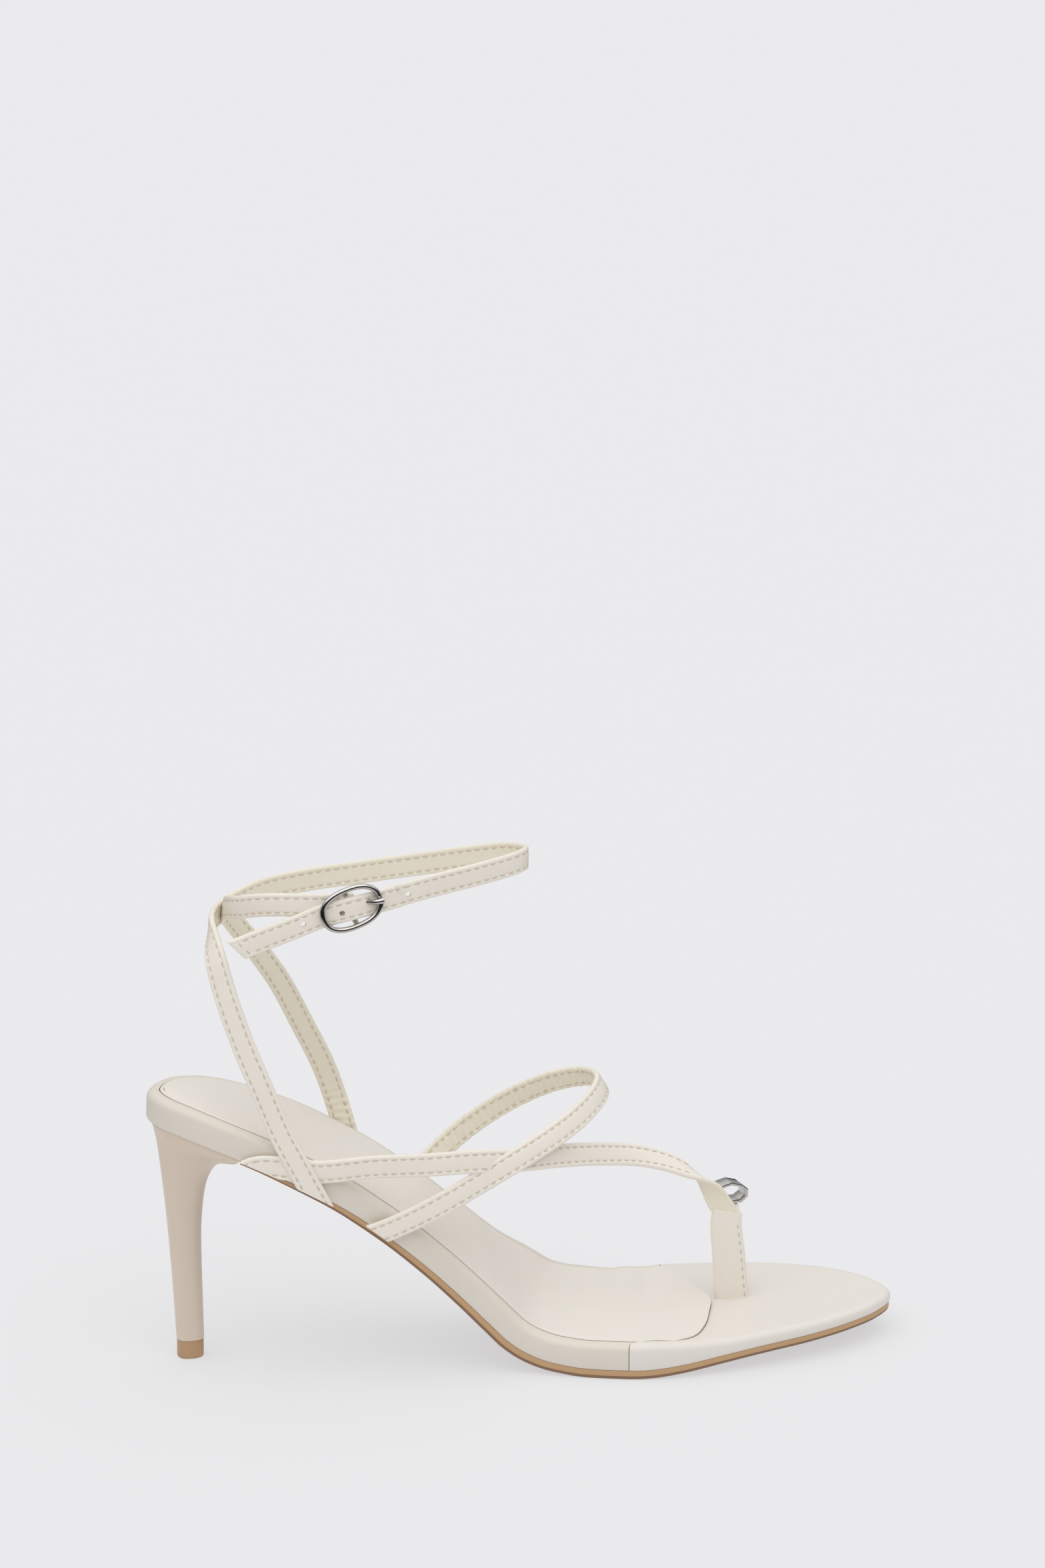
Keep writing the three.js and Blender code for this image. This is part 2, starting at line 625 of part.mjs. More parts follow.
// The short strap: up from the inner wall, round behind the heel inside the long strap, and
// folded round the buckle's bar.
function buckleStrap() {
  const under = ridingDepth + strapThickness - strapPress;
  const rows = [
    onWall({ at: 0.288, side: 1, up: -0.685 }),
    onWall({ at: 0.276, side: 1, up: 0.548 }),
    roundAnkle({ along: 0.405, aside: 1.37, up: -0.19, turn: 90 }),
    roundAnkle({ along: 0.363, aside: 1.31, up: -0.022, turn: 91 }),
    roundAnkle({ along: 0.3, aside: 1.18, up: 0.166, turn: 97 }),
    roundAnkle({ along: 0.224, aside: 1, up: 0.385, turn: 106 }),
    roundAnkle({ along: 0.16, aside: 0.84, up: 0.528, turn: 118 }),
    roundAnkle({ along: 0.1, aside: 0.62, up: 0.65, turn: 132 }),
    roundAnkle(heelCrossing),
    roundAnkle({ along: 0.046, aside: -0.06, up: 0.823, turn: -178 }),
    roundAnkle({ along: 0.078, aside: -0.5, up: 0.86, turn: -134 }),
    roundAnkle({ along: 0.135, aside: -0.8, up: 0.892, turn: -108 }),
    roundAnkle({ along: 0.2, aside: -0.93, up: 0.902, turn: -98 }),
    atBuckle({ along: -1.35, aside: 0.87, out: -under + 0.125 * strapThickness }),
    atBuckle({ along: -0.88, aside: 0.56, out: -under }),
    atBuckle({ along: -0.35, aside: 0.24, out: -under - 0.125 * strapThickness }),
    atBuckle({ along: -0.1, aside: 0.05, out: -under - 0.06 * strapThickness }),
  ];
  const eye = new THREE.CylinderGeometry(eyeRadius, eyeRadius, strapWidth, wireSides + 4);
  return strap(rows).add(solid(eye.translate(0, 0, -barDepth).applyMatrix4(buckleFrame)));
}

// The strap from the outer wall under the instep loop. Its outer face turns up and then away, and
// its end goes into the top of the toe post.
function postStrap() {
  const rows = [
    onWall({ at: 0.112, side: -1, up: -0.822 }),
    onWall({ at: 0.122, side: -1, up: -0.356 }),
    onWall({ at: 0.136, side: -1, up: 0.027 }),
    onWall({ at: 0.155, side: -1, up: 0.329 }),
    onWall({ at: 0.185, side: -1, up: 0.671 }),
    onWall({ at: 0.22, side: -1, up: 1.096 }),
    overInstep({ along: 0.29, aside: -0.782, up: 0.82, turn: -90 }),
    overInstep({ along: 0.36, aside: -0.765, up: 0.818, turn: -88, rise: 4 }),
    overInstep({ along: 0.416, aside: -0.725, up: 0.818, turn: -86, rise: 9 }),
    overInstep(instepCrossing),
    overInstep({ along: 0.551, aside: -0.37, up: 0.77, turn: -82, rise: 22 }),
    overInstep({ along: 0.602, aside: -0.185, up: 0.738, turn: -80, rise: 28 }),
    overInstep({ along: 0.656, aside: 0, up: 0.692, turn: -78, rise: 42 }),
    overInstep({ along: 0.696, aside: 0.07, up: 0.646, turn: -74, rise: 56 }),
    overInstep({ along: 0.722, aside: 0.09, up: 0.604, turn: -45, rise: 66 }),
    overInstep({ along: 0.742, aside: 0.11, up: 0.561, turn: 25, rise: 56 }),
    overInstep({ along: 0.757, aside: 0.115, up: 0.508, turn: 70, rise: 34 }),
    overInstep({ along: 0.767, aside: 0.11, up: 0.452, turn: 88, rise: 12 }),
    onPost(0.98, 90),
    onPost(0.82, 90),
  ];
  return strap(rows, plainStrap, twistStep);
}

// The toe post stands on the footbed and leans back a little as it rises.
const POST = { at: 0.786, aside: 0.106, lean: 0.075 };

function onPost(up, turn) {
  const [x, y] = [POST.at * shoeLength, POST.aside * ballWidth / 2];
  const foot = soleZ(x, y) + wallAt(x);
  const place = new THREE.Vector3(x - up * postHeight * POST.lean, y, foot + up * postHeight);
  return { place, face: facing(turn, 0) };
}

// The post: a wrapped band that narrows as it rises. Its top edge slants down to the toe.
function toePost() {
  const top = onPost(1, -90);
  top.place.x += 0.1 * postTopWidth;
  const rows = [top, onPost(0.9, -90), onPost(0.5, -90), onPost(-postDepth / postHeight, -90)];
  const shape = (row) => ({
    width: THREE.MathUtils.lerp(postTopWidth, postWidth, row / (rows.length - 1)),
    thickness: postThickness,
  });
  return strap(rows, shape);
}

// The narrow tab that carries the ring: up from the top of the post and back under the ring.
// Shares of the post's width, of the way to behind the ring and of the ring's height.
const TAB = [
  { along: 0.22, aside: 0.02, up: -0.5, rise: 0 },
  { along: 0.26, aside: 0.12, up: -0.2, rise: 10 },
  { along: 0.28, aside: 0.28, up: 0.02, rise: 45 },
  { along: 0.24, aside: 0.5, up: 0.07, rise: 80 },
  { along: 0.14, aside: 0.9, up: 0.07, rise: 89 },
];

function ringTab() {
  const behind = postThickness / 2 + gap + ringBack + ringDepth;
  const { place } = onPost(1, -90);
  const rows = TAB.map((row) => ({
    place: place.clone().add(new THREE.Vector3(
      row.along * postTopWidth, row.aside * behind, row.up * ringHeight)),
    face: facing(-90, row.rise),
  }));
  return strap(rows, () => ({ width: tabWidth, thickness: 0.75 * strapThickness }), tabStep);
}

// The loop over the instep leans forward from both walls.
function instepLoop() {
  const rows = [
    onWall({ at: 0.262, side: -1, up: -1.096, over: 1 }),
    onWall({ at: 0.298, side: -1, up: 0, over: 1 }),
    overInstep({ along: 0.333, aside: -0.75, up: 0.561, turn: -90 }),
    overInstep({ along: 0.386, aside: -0.76, up: 0.648, turn: -88, rise: 5 }),
    overInstep({ along: 0.437, aside: -0.725, up: 0.736, turn: -86, rise: 10 }),
    overInstep({ ...instepCrossing, over: 1 }),
    overInstep({ along: 0.531, aside: -0.49, up: 0.874, turn: -72, rise: 20 }),
    overInstep({ along: 0.571, aside: -0.305, up: 0.933, turn: -52, rise: 26 }),
    overInstep({ along: 0.6, aside: -0.09, up: 0.988, turn: -22, rise: 30 }),
    overInstep({ along: 0.609, aside: 0.12, up: 1.007, turn: 8, rise: 31 }),
    overInstep({ along: 0.6, aside: 0.34, up: 0.999, turn: 42, rise: 28 }),
    overInstep({ along: 0.577, aside: 0.5, up: 0.972, turn: 62, rise: 22 }),
    overInstep({ along: 0.545, aside: 0.605, up: 0.93, turn: 74, rise: 17 }),
    overInstep({ along: 0.493, aside: 0.69, up: 0.842, turn: 82, rise: 10 }),
    overInstep({ along: 0.445, aside: 0.72, up: 0.737, turn: 86, rise: 5 }),
    overInstep({ along: 0.412, aside: 0.705, up: 0.653, turn: 88, rise: 2 }),
    onWall({ at: 0.374, side: 1, up: 1.233 }),
    onWall({ at: 0.351, side: 1, up: 0.096 }),
    onWall({ at: 0.333, side: 1, up: -0.767 }),
  ];
  return strap(rows);
}

// Round wire through its points. A closed wire has no ends.
function wire(points, radius, closed) {
  const path = new THREE.CatmullRomCurve3(points, closed, 'centripetal');
  const steps = points.length * 2;
  const { normals, binormals } = path.computeFrenetFrames(steps, closed);
  const rings = Array.from({ length: closed ? steps : steps + 1 }, (_, i) => {
    const centre = path.getPointAt(i / steps);
    return Array.from({ length: wireSides }, (__, k) => {
      const turn = (2 * Math.PI * k) / wireSides;
      return centre.clone().addScaledVector(normals[i], radius * Math.cos(turn))
        .addScaledVector(binormals[i], radius * Math.sin(turn));
    });
  });
  if (closed) return solid(hoop(rings));
  return solid(loft(rings, fanCap(wireSides), fanCap(wireSides)));
}

// Half of the buckle's bar, from the oval inwards: shares of the oval's half width and of the
// bar's depth.
const BAR = [
  { aside: 1, drop: 0 },
  { aside: 0.9, drop: 0.5 },
  { aside: 0.76, drop: 0.95 },
  { aside: 0.3, drop: 1 },
];

// The buckle: an oval of wire, and a bar across it that hangs below the oval.
function buckleForm(grow) {
  const [a, b] = [(buckleLength - buckleWire) / 2, (buckleWidth - buckleWire) / 2];
  const corners = 16;
  const power = 2 / buckleSquareness;
  const oval = Array.from({ length: corners }, (_, i) => {
    const turn = (2 * Math.PI * i) / corners;
    const [c, s] = [Math.cos(turn), Math.sin(turn)];
    return new THREE.Vector3(
      a * Math.sign(c) * Math.abs(c) ** power, b * Math.sign(s) * Math.abs(s) ** power, 0);
  });
  const half = BAR.map((row) => new THREE.Vector3(0, row.aside * b, -row.drop * barDepth));
  const bar = [...half, ...half.map((spot) => spot.clone().setY(-spot.y)).reverse()];
  return wire(oval, buckleWire / 2 + grow, true).add(wire(bar, barWire / 2 + grow, false));
}

// The prong: an eye round the bar, and a shank that comes up through the strap's hole and lies
// on the far side of the oval. Heights are shares of the height at which it rests.
const PRONG = [
  { along: 0.12, aside: 0, rise: -0.72 },
  { along: 0.34, aside: 0, rise: -0.66 },
  { along: 0.55, aside: -0.02, rise: -0.15 },
  { along: 0.72, aside: -0.07, rise: 0.72 },
  { along: 0.85, aside: -0.1, rise: 1 },
  { along: 0.98, aside: -0.13, rise: 1 },
];

function prongForm(grow) {
  const corners = 8;
  const reach = barWire / 2 + gap + prongFold / 2;
  const eye = Array.from({ length: corners }, (_, i) => {
    const turn = (2 * Math.PI * i) / corners;
    return new THREE.Vector3(reach * Math.cos(turn), 0, reach * Math.sin(turn) - barDepth);
  });
  const rest = buckleWire / 2 + gap + prongWire / 2;
  const shank = PRONG.map((row) => new THREE.Vector3(
    row.along * buckleLength / 2, row.aside * buckleWidth / 2, row.rise * rest));
  return wire(eye, prongFold / 2 + grow, true).add(wire(shank, prongWire / 2 + grow, false));
}

// The holes in the long strap besides the prong's own.
const HOLES = [
  { along: -1.52, aside: 0.1 },
  { along: -0.32, aside: -0.03 },
  { along: 1.76, aside: -0.4 },
];

function strapHoles() {
  const depth = 5 * strapThickness;
  const upright = new THREE.Matrix4().makeRotationX(Math.PI / 2);
  return union(HOLES.map((row) => {
    const hole = new THREE.CylinderGeometry(holeDiameter / 2, holeDiameter / 2, depth, wireSides);
    const { place } = atBuckle({ ...row, out: 0 });
    const matrix = buckleFrame.clone().multiply(upright).setPosition(place);
    return solid(hole.applyMatrix4(matrix));
  }));
}

// The slanted cut of the free end.
const freeEndSlant = 27;
const FREE_END = { along: -3.73, aside: 0.2, out: -ridingDepth + 1.25 * strapThickness };

function freeEndCut() {
  const [long, wide, deep] = [1.4 * strapWidth, 1.7 * strapWidth, 3 * strapThickness];
  const box = new THREE.BoxGeometry(long, wide, deep).translate(-long / 2, 0, 0);
  const slant = new THREE.Matrix4().makeRotationZ(radians(freeEndSlant));
  const { place } = atBuckle(FREE_END);
  return solid(box.applyMatrix4(buckleFrame.clone().multiply(slant).setPosition(place)));
}

// The ring at the top of the post: a faceted band with a peak, seen along its axis, as shares of
// half its length and half its height.
const RING = [
  { along: 0, up: 1 },
  { along: -0.55, up: 0.78 },
  { along: -1, up: 0.25 },
  { along: -0.95, up: -0.3 },
  { along: -0.45, up: -1 },
  { along: 0.6, up: -1 },
  { along: 0.98, up: -0.5 },
  { along: 1, up: 0.22 },
  { along: 0.62, up: 0.7 },
];

function ringForm(grow) {
  const outline = (shrink) => RING.map((row) => new THREE.Vector2(
    row.along * (ringLength / 2 - shrink), row.up * (ringHeight / 2 - shrink)));
  const band = new THREE.Shape(outline(-grow));
  band.holes.push(new THREE.Path(outline(ringWall + grow)));
  const depth = ringDepth + 2 * grow;
  const geometry = new THREE.ExtrudeGeometry(band, { depth, bevelEnabled: false, steps: 1 });
  geometry.rotateX(Math.PI / 2).translate(0, ringDepth + grow, 0);
  return solid(geometry.applyMatrix4(ringPlace()));
}

function ringPlace() {
  const { place } = onPost(1, 0);
  const lean = new THREE.Matrix4().makeRotationZ(radians(ringTurn));
  const spot = place.clone().add(new THREE.Vector3(
    ringAhead, postThickness / 2 + gap + ringBack, ringHeight / 2 + ringLift));
  return new THREE.Matrix4().makeTranslation(...spot.toArray()).multiply(lean);
}

// What lies under the sole's line, where the straps end.
function underSole() {
  const far = 2 * strapWidth;
  const deep = 0.8 * heelRise;
  return layer([
    { inset: -far, lift: () => -deep },
    { inset: -far, lift: () => 0 },
  ]);
}

function upperForm(platform, outsole, ring) {
  const straps = union([
    ankleStrap(), buckleStrap(), instepLoop(), postStrap(), toePost(), ringTab(),
  ]);
  const cuts = union([
    platform, outsole, ring, underSole(), strapHoles(), freeEndCut(),
    buckleForm(gap).transform(buckleFrame.elements),
    prongForm(gap).transform(buckleFrame.elements),
  ]);
  return straps.subtract(cuts);
}

// The slot in the footbed that the toe post stands in.
function postSlot() {
  const low = onPost(-(postDepth + gap) / postHeight, -90);
  const high = onPost(0.5, -90);
  const shape = () => ({ width: postWidth + 2 * gap, thickness: postThickness + 2 * gap });
  return strap([low, high], shape);
}

const FINISH = {
  leather: { color: 0xddd6cb, roughness: 0.5, metalness: 0 },
  sock: { color: 0xdcd4ca, roughness: 0.6, metalness: 0 },
  heel: { color: 0xc7b7a8, roughness: 0.4, metalness: 0 },
  sole: { color: 0xb08c64, roughness: 0.55, metalness: 0 },
  silver: { color: 0xc4c2c0, roughness: 0.15, metalness: 1 },
};

function piece(name, form, finish) {
  const mesh = new THREE.Mesh(geometryOf(form), new THREE.MeshStandardMaterial(FINISH[finish]));
  mesh.name = name;
  return mesh;
}

// The bottom: one form is cut into the platform and the toe cover, which wraps the platform.
const whole = platformForm(0);
const ahead = aheadOfSeam(0);
const hollow = platformForm(-coverThickness, outsoleThickness);
const core = platformForm(-coverThickness - gap, outsoleThickness);
const cover = whole.intersect(ahead).subtract(hollow).subtract(postSlot());
const platform = whole.subtract(aheadOfSeam(gap).subtract(core))
  .subtract(sockBed().subtract(ahead)).subtract(postSlot());
const sock = sockForm().subtract(aheadOfSeam(gap));
const breast = heelSet * HEEL[0].set + heelSeatLength + gap;
const behindBreast = boxBetween(
  new THREE.Vector3(-shoeLength, -shoeLength, -shoeLength), new THREE.Vector3(breast, shoeLength, shoeLength));
const outsole = outsoleForm(0).subtract(behindBreast);

const shoe = new THREE.Group();
shoe.add(
  piece('outsole', outsole, 'sole'),
  piece('platform', platform, 'leather'),
  piece('sock_lining', sock, 'sock'),
  piece('forepart_cover', cover, 'leather'),
  piece('heel', heelForm(), 'heel'),
  piece('heel_tip', topPieceForm(), 'sole'),
  piece('upper', upperForm(platformForm(gap, gap), outsoleForm(gap), ringForm(gap)), 'leather'),
  piece('buckle_frame', buckleForm(0).transform(buckleFrame.elements), 'silver'),
  piece('buckle_prong', prongForm(0).transform(buckleFrame.elements), 'silver'),
  piece('toe_ring', ringForm(0), 'silver'),
);

// The origin is on the floor, under the middle of the whole shoe.
const bounds = new THREE.Box3().setFromObject(shoe);
const middle = bounds.getCenter(new THREE.Vector3());
shoe.position.set(-middle.x, -middle.y, -bounds.min.z);

export default shoe;
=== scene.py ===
"""The looks of a strappy toe-post sandal on a slim heel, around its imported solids.

Sizes are in millimetres from the back of the sole: +X to the toe, +Y to the inner side, +Z up.
"""

import math

import bmesh
import bpy
import numpy as np
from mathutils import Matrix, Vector


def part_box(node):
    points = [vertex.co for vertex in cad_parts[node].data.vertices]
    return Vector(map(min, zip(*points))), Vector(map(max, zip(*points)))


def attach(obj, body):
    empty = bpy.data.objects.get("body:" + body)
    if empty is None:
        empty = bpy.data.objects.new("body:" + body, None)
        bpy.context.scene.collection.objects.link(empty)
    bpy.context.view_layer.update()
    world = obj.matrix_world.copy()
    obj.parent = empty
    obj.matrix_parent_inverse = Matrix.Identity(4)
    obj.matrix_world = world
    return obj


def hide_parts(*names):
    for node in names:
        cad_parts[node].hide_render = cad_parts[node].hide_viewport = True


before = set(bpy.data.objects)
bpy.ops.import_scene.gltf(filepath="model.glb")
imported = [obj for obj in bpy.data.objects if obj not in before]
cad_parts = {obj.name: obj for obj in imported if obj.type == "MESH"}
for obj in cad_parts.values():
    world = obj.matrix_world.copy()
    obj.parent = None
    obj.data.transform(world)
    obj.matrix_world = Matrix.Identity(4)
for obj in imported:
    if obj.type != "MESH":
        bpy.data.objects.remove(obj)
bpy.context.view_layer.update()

MM = 0.001

# Driving sizes of the bottom.
SHOE_LENGTH = 228
BALL_WIDTH = 75.5
WAIST_WIDTH = 46.5
SEAT_WIDTH = 54
HEEL_RISE = 73.4
TOE_SPRING = 6.2
WALL_HEIGHT = 7.3
OUTSOLE_THICKNESS = 3
OUTSOLE_SETBACK = 0.3
OUTSOLE_BEVEL = 0.8
RIM_WIDTH = 3.4
RIM_ROLL = 2.3
SOCK_THICKNESS = 1.7
SOCK_PROUD = 0.45
SOCK_ROUND = 0.5
SOCK_CUSHION = 0.6
# Sock faces that look up by less than this take the painted shade of the crevice by the rim.
SOCK_SHADE_LEVEL = 0.55
# Outsole faces that look up by less than this take the painted shade of the sole's underside.
SOLE_SHADE_LEVEL = -0.2
COVER_THICKNESS = 0.9

# Driving sizes of the heel.
HEEL_SET = 8.4
HEEL_SEAT_LENGTH = 25.4
HEEL_SEAT_INSET = 0.8
HEEL_TIP_LENGTH = 8.4
HEEL_TIP_WIDTH = 9
TOP_PIECE_HEIGHT = 5.8
TOP_PIECE_SETBACK = 0.15

# Driving sizes of the straps.
STRAP_WIDTH = 7.2
STRAP_THICKNESS = 1.6
STRAP_PRESS = 0.35
FREE_END_TURN = 27
ANKLE_LOOP_BACK = 21
ANKLE_LOOP_LENGTH = 95
ANKLE_LOOP_WIDTH = 39
ANKLE_RISE = 69
INSTEP_RISE = 70.4
POST_WIDTH = 10.6
POST_TOP_WIDTH = 9.1
POST_THICKNESS = 2.8
POST_HEIGHT = 28
POST_DEPTH = 2

# Driving sizes of the buckle and the ring.
BUCKLE_LENGTH = 19.8
BUCKLE_WIDTH = 13.5
BUCKLE_WIRE = 1.7
BUCKLE_TILT = 19
BUCKLE_SQUARENESS = 2.35
BAR_WIRE = 1.6
FOLD_THICKNESS = 1.2
PRONG_WIRE = 1.7
PRONG_FOLD = 0.9
HOLE_DIAMETER = 1.7
RING_LENGTH = 11
RING_HEIGHT = 6.8
RING_DEPTH = 5.8
RING_WALL = 1
RING_AHEAD = 2.2
RING_LIFT = 1.4
RING_TURN = 14
RING_BACK = 0.9
TAB_WIDTH = 4.2

GAP = 0.3
SEAM_GAP = 0.12
SOCK_SEAM = 0.26
COVER_SEAM_GAP = 0.26
COVER_PROUD = 0.1

# Sewing.
STITCH_INSET = 1.4
STITCH_PITCH = 2.75
STITCH_LENGTH = 1.95
THREAD_RADIUS = 0.2
END_STITCH_BACK = 2.4
FOLD_STITCH_BACK = 6
POST_STITCH_START = 4
TWIST_BARE = 22

# The free end's cut, and the metal's softened edges.
SLANT_REACH = 14
END_ROUNDING = 1.4
RING_BEVEL = 0.16

# How finely the shapes are cut.
RING_STEPS = 8
FILL_COLUMNS = 28
STRAP_STEP = 0.42
HEEL_SIDES = 72
HEEL_LEVELS = 64
WIRE_SIDES = 16

# The model's own origin, from the middle of the top piece, which stands symmetrical on it.
low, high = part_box("heel_tip")
ORIGIN = np.array((
    low.x / MM - HEEL_SET - TOP_PIECE_SETBACK,
    (low.y + high.y) / 2 / MM,
    0,
))


# Curves through tables.

def smooth(rows, column):
    """A curve through one column of a table against its first, which never overshoots."""
    x = np.array([row[0] for row in rows], float)
    y = np.array([row[column] for row in rows], float)
    slope = np.diff(y) / np.diff(x)
    tangent = np.concatenate([slope[:1], np.zeros(len(x) - 2), slope[-1:]])
    for i in range(1, len(x) - 1):
        before, after = slope[i - 1], slope[i]
        if before * after > 0:
            tangent[i] = 2 * before * after / (before + after)

    def value(at):
        at = np.clip(at, x[0], x[-1])
        i = np.clip(np.searchsorted(x, at, side="right") - 1, 0, len(x) - 2)
        span = x[i + 1] - x[i]
        t = (at - x[i]) / span
        rise = (3 - 2 * t) * t * t
        bend = tangent[i] * (1 - t) ** 2 * t - tangent[i + 1] * (1 - t) * t * t
        return y[i] + (y[i + 1] - y[i]) * rise + bend * span

    return value


def through(points, closed=False):
    """A rounded curve through points, for shares from 0 to 1."""
    p = np.array(points, float)
    count = len(p)
    spread = p if closed else np.vstack([2 * p[0] - p[1], p, 2 * p[-1] - p[-2]])

    def at(share):
        q = np.atleast_1d(share) * (count if closed else count - 1)
        i = np.floor(q).astype(int)
        if not closed:
            i = np.clip(i, 0, count - 2)
        w = (q - i)[:, None]
        if closed:
            p0, p1, p2, p3 = (spread[(i + k) % count] for k in (-1, 0, 1, 2))
        else:
            p0, p1, p2, p3 = (spread[i + k] for k in (0, 1, 2, 3))
        d0, d1, d2 = (
            (np.sum((b - a) ** 2, axis=1) ** 0.25)[:, None]
            for a, b in ((p0, p1), (p1, p2), (p2, p3))
        )
        d1 = np.where(d1 < 1e-4, 1, d1)
        d0 = np.where(d0 < 1e-4, d1, d0)
        d2 = np.where(d2 < 1e-4, d1, d2)
        first = ((p1 - p0) / d0 - (p2 - p0) / (d0 + d1) + (p2 - p1) / d1) * d1
        last = ((p2 - p1) / d1 - (p3 - p1) / (d1 + d2) + (p3 - p2) / d2) * d1
        square = 3 * (p2 - p1) - 2 * first - last
        cube = 2 * (p1 - p2) + first + last
        return p1 + w * (first + w * (square + w * cube))

    return at


def unit(v):
    return v / np.linalg.norm(v, axis=-1, keepdims=True)


def ease(value, low, high):
    """0 below low, 1 above high, and an even swing between them."""
    t = np.clip((value - low) / (high - low), 0, 1)
    return t * t * (3 - 2 * t)


# The sole's outline. Columns: at, of, outer, inner, as shares of the length and of the named width.
OUTLINE = [
    (0.011, SEAT_WIDTH, 0.165, 0.165),
    (0.039, SEAT_WIDTH, 0.32, 0.32),
    (0.088, SEAT_WIDTH, 0.445, 0.445),
    (0.167, SEAT_WIDTH, 0.502, 0.498),
    (0.254, SEAT_WIDTH, 0.49, 0.465),
    (0.333, WAIST_WIDTH, 0.545, 0.48),
    (0.404, WAIST_WIDTH, 0.54, 0.46),
    (0.474, WAIST_WIDTH, 0.59, 0.515),
    (0.535, BALL_WIDTH, 0.415, 0.375),
    (0.592, BALL_WIDTH, 0.467, 0.442),
    (0.649, BALL_WIDTH, 0.498, 0.494),
    (0.702, BALL_WIDTH, 0.487, 0.523),
    (0.763, BALL_WIDTH, 0.445, 0.517),
    (0.825, BALL_WIDTH, 0.384, 0.485),
    (0.88, BALL_WIDTH, 0.315, 0.437),
    (0.934, BALL_WIDTH, 0.215, 0.352),
    (0.977, BALL_WIDTH, 0.098, 0.225),
]
TOE_TIP_ASIDE = 0.035

# The platform's underside along the middle. Columns: at, heel, toe, as shares of the heel's rise
# and of the toe spring.
PROFILE = [
    (0, 1, 0),
    (0.035, 0.991, 0),
    (0.062, 0.974, 0),
    (0.1, 0.938, 0),
    (0.137, 0.895, 0),
    (0.17, 0.852, 0),
    (0.219, 0.781, 0),
    (0.272, 0.694, 0),
    (0.329, 0.572, 0),
    (0.386, 0.425, 0),
    (0.439, 0.271, 0),
    (0.474, 0.168, 0),
    (0.5, 0.101, 0),
    (0.535, 0.048, 0),
    (0.575, 0.014, 0),
    (0.62, 0, 0),
    (0.662, 0, 0),
    (0.702, 0, 0.19),
    (0.754, 0, 0.47),
    (0.811, 0, 0.68),
    (0.877, 0, 0.82),
    (0.943, 0, 0.92),
    (1, 0, 1),
]

# Columns: at, wall, outsole, slant. The wall's height and the outsole's thickness are shares of
# their named sizes, and slant is how far the profile's break runs forward to the inner side.
LAYERS = [
    (0, 1.21, 0.4, 0),
    (0.06, 1.18, 0.4, 0.03),
    (0.12, 1.16, 0.42, 0.05),
    (0.2, 1.12, 0.6, 0.11),
    (0.28, 1, 0.82, 0.18),
    (0.36, 0.97, 0.9, 0.215),
    (0.45, 0.98, 0.96, 0.24),
    (0.51, 1.02, 1, 0.33),
    (0.6, 1.1, 1, 0.32),
    (0.65, 1.1, 1, 0.15),
    (0.7, 0.9, 0.97, 0.03),
    (0.77, 0.6, 0.93, 0),
    (0.86, 0.48, 0.9, 0),
    (1, 0.42, 0.87, 0),
]

# The seam between the sock and the toe cover. Columns: at, aside (a share of the ball's width).
COVER_SEAM = [
    (0.63, -0.7),
    (0.63, -0.462),
    (0.66, -0.447),
    (0.695, -0.437),
    (0.717, -0.398),
    (0.737, -0.27),
    (0.748, -0.13),
    (0.756, 0.035),
    (0.737, 0.235),
    (0.708, 0.47),
    (0.704, 0.7),
]

heel_share = smooth(PROFILE, 1)
toe_share = smooth(PROFILE, 2)
wall_share = smooth(LAYERS, 1)
outsole_share = smooth(LAYERS, 2)
slant_share = smooth(LAYERS, 3)


def wall_at(x):
    return WALL_HEIGHT * wall_share(x / SHOE_LENGTH)


def outsole_at(x):
    return OUTSOLE_THICKNESS * outsole_share(x / SHOE_LENGTH)


def roll_at(x):
    return np.minimum(RIM_ROLL, 0.5 * wall_at(x))


def deck_drop(x):
    return np.minimum(SOCK_THICKNESS + GAP, 0.6 * wall_at(x))


def sole_z(x, y):
    """Height of the platform's underside at a place in plan."""
    at = (x - slant_share(x / SHOE_LENGTH) * y) / SHOE_LENGTH
    return OUTSOLE_THICKNESS + HEEL_RISE * heel_share(at) + TOE_SPRING * toe_share(at)


def above_sole(x, y, lift):
    """Places at a lift from the underside, measured square to it."""
    reach = 1
    slope = (sole_z(x + reach, y) - sole_z(x - reach, y)) / (2 * reach)
    scale = lift / np.sqrt(1 + slope ** 2)
    return np.stack([x - slope * scale, y + 0 * x, sole_z(x, y) + scale], axis=-1)


def outline_ring():
    """The outline as a closed ring: heel, outer side, toe, inner side."""
    outer = [(at * SHOE_LENGTH, -out * of) for at, of, out, _ in OUTLINE]
    inner = [(at * SHOE_LENGTH, inn * of) for at, of, _, inn in OUTLINE]
    toe = (SHOE_LENGTH, TOE_TIP_ASIDE * BALL_WIDTH)
    points = [(0, 0), *outer, toe, *reversed(inner)]
    count = len(points) * RING_STEPS
    return through(points, closed=True)(np.arange(count) / count)


OUTLINE_RING = outline_ring()


def inset_ring(inset):
    along = unit(np.roll(OUTLINE_RING, -1, axis=0) - np.roll(OUTLINE_RING, 1, axis=0))
    inward = np.stack([-along[:, 1], along[:, 0]], axis=-1)
    return OUTLINE_RING + inward * inset


def edge_at(x, side):
    """How far the outline reaches from the middle line at x: side is -1 outside, 1 inside."""
    half = len(OUTLINE_RING) // 2
    run = OUTLINE_RING[: half + 1] if side < 0 else np.vstack([OUTLINE_RING[:1], OUTLINE_RING[:half - 1:-1]])
    return np.interp(x, run[:, 0], run[:, 1])


# Mesh building.

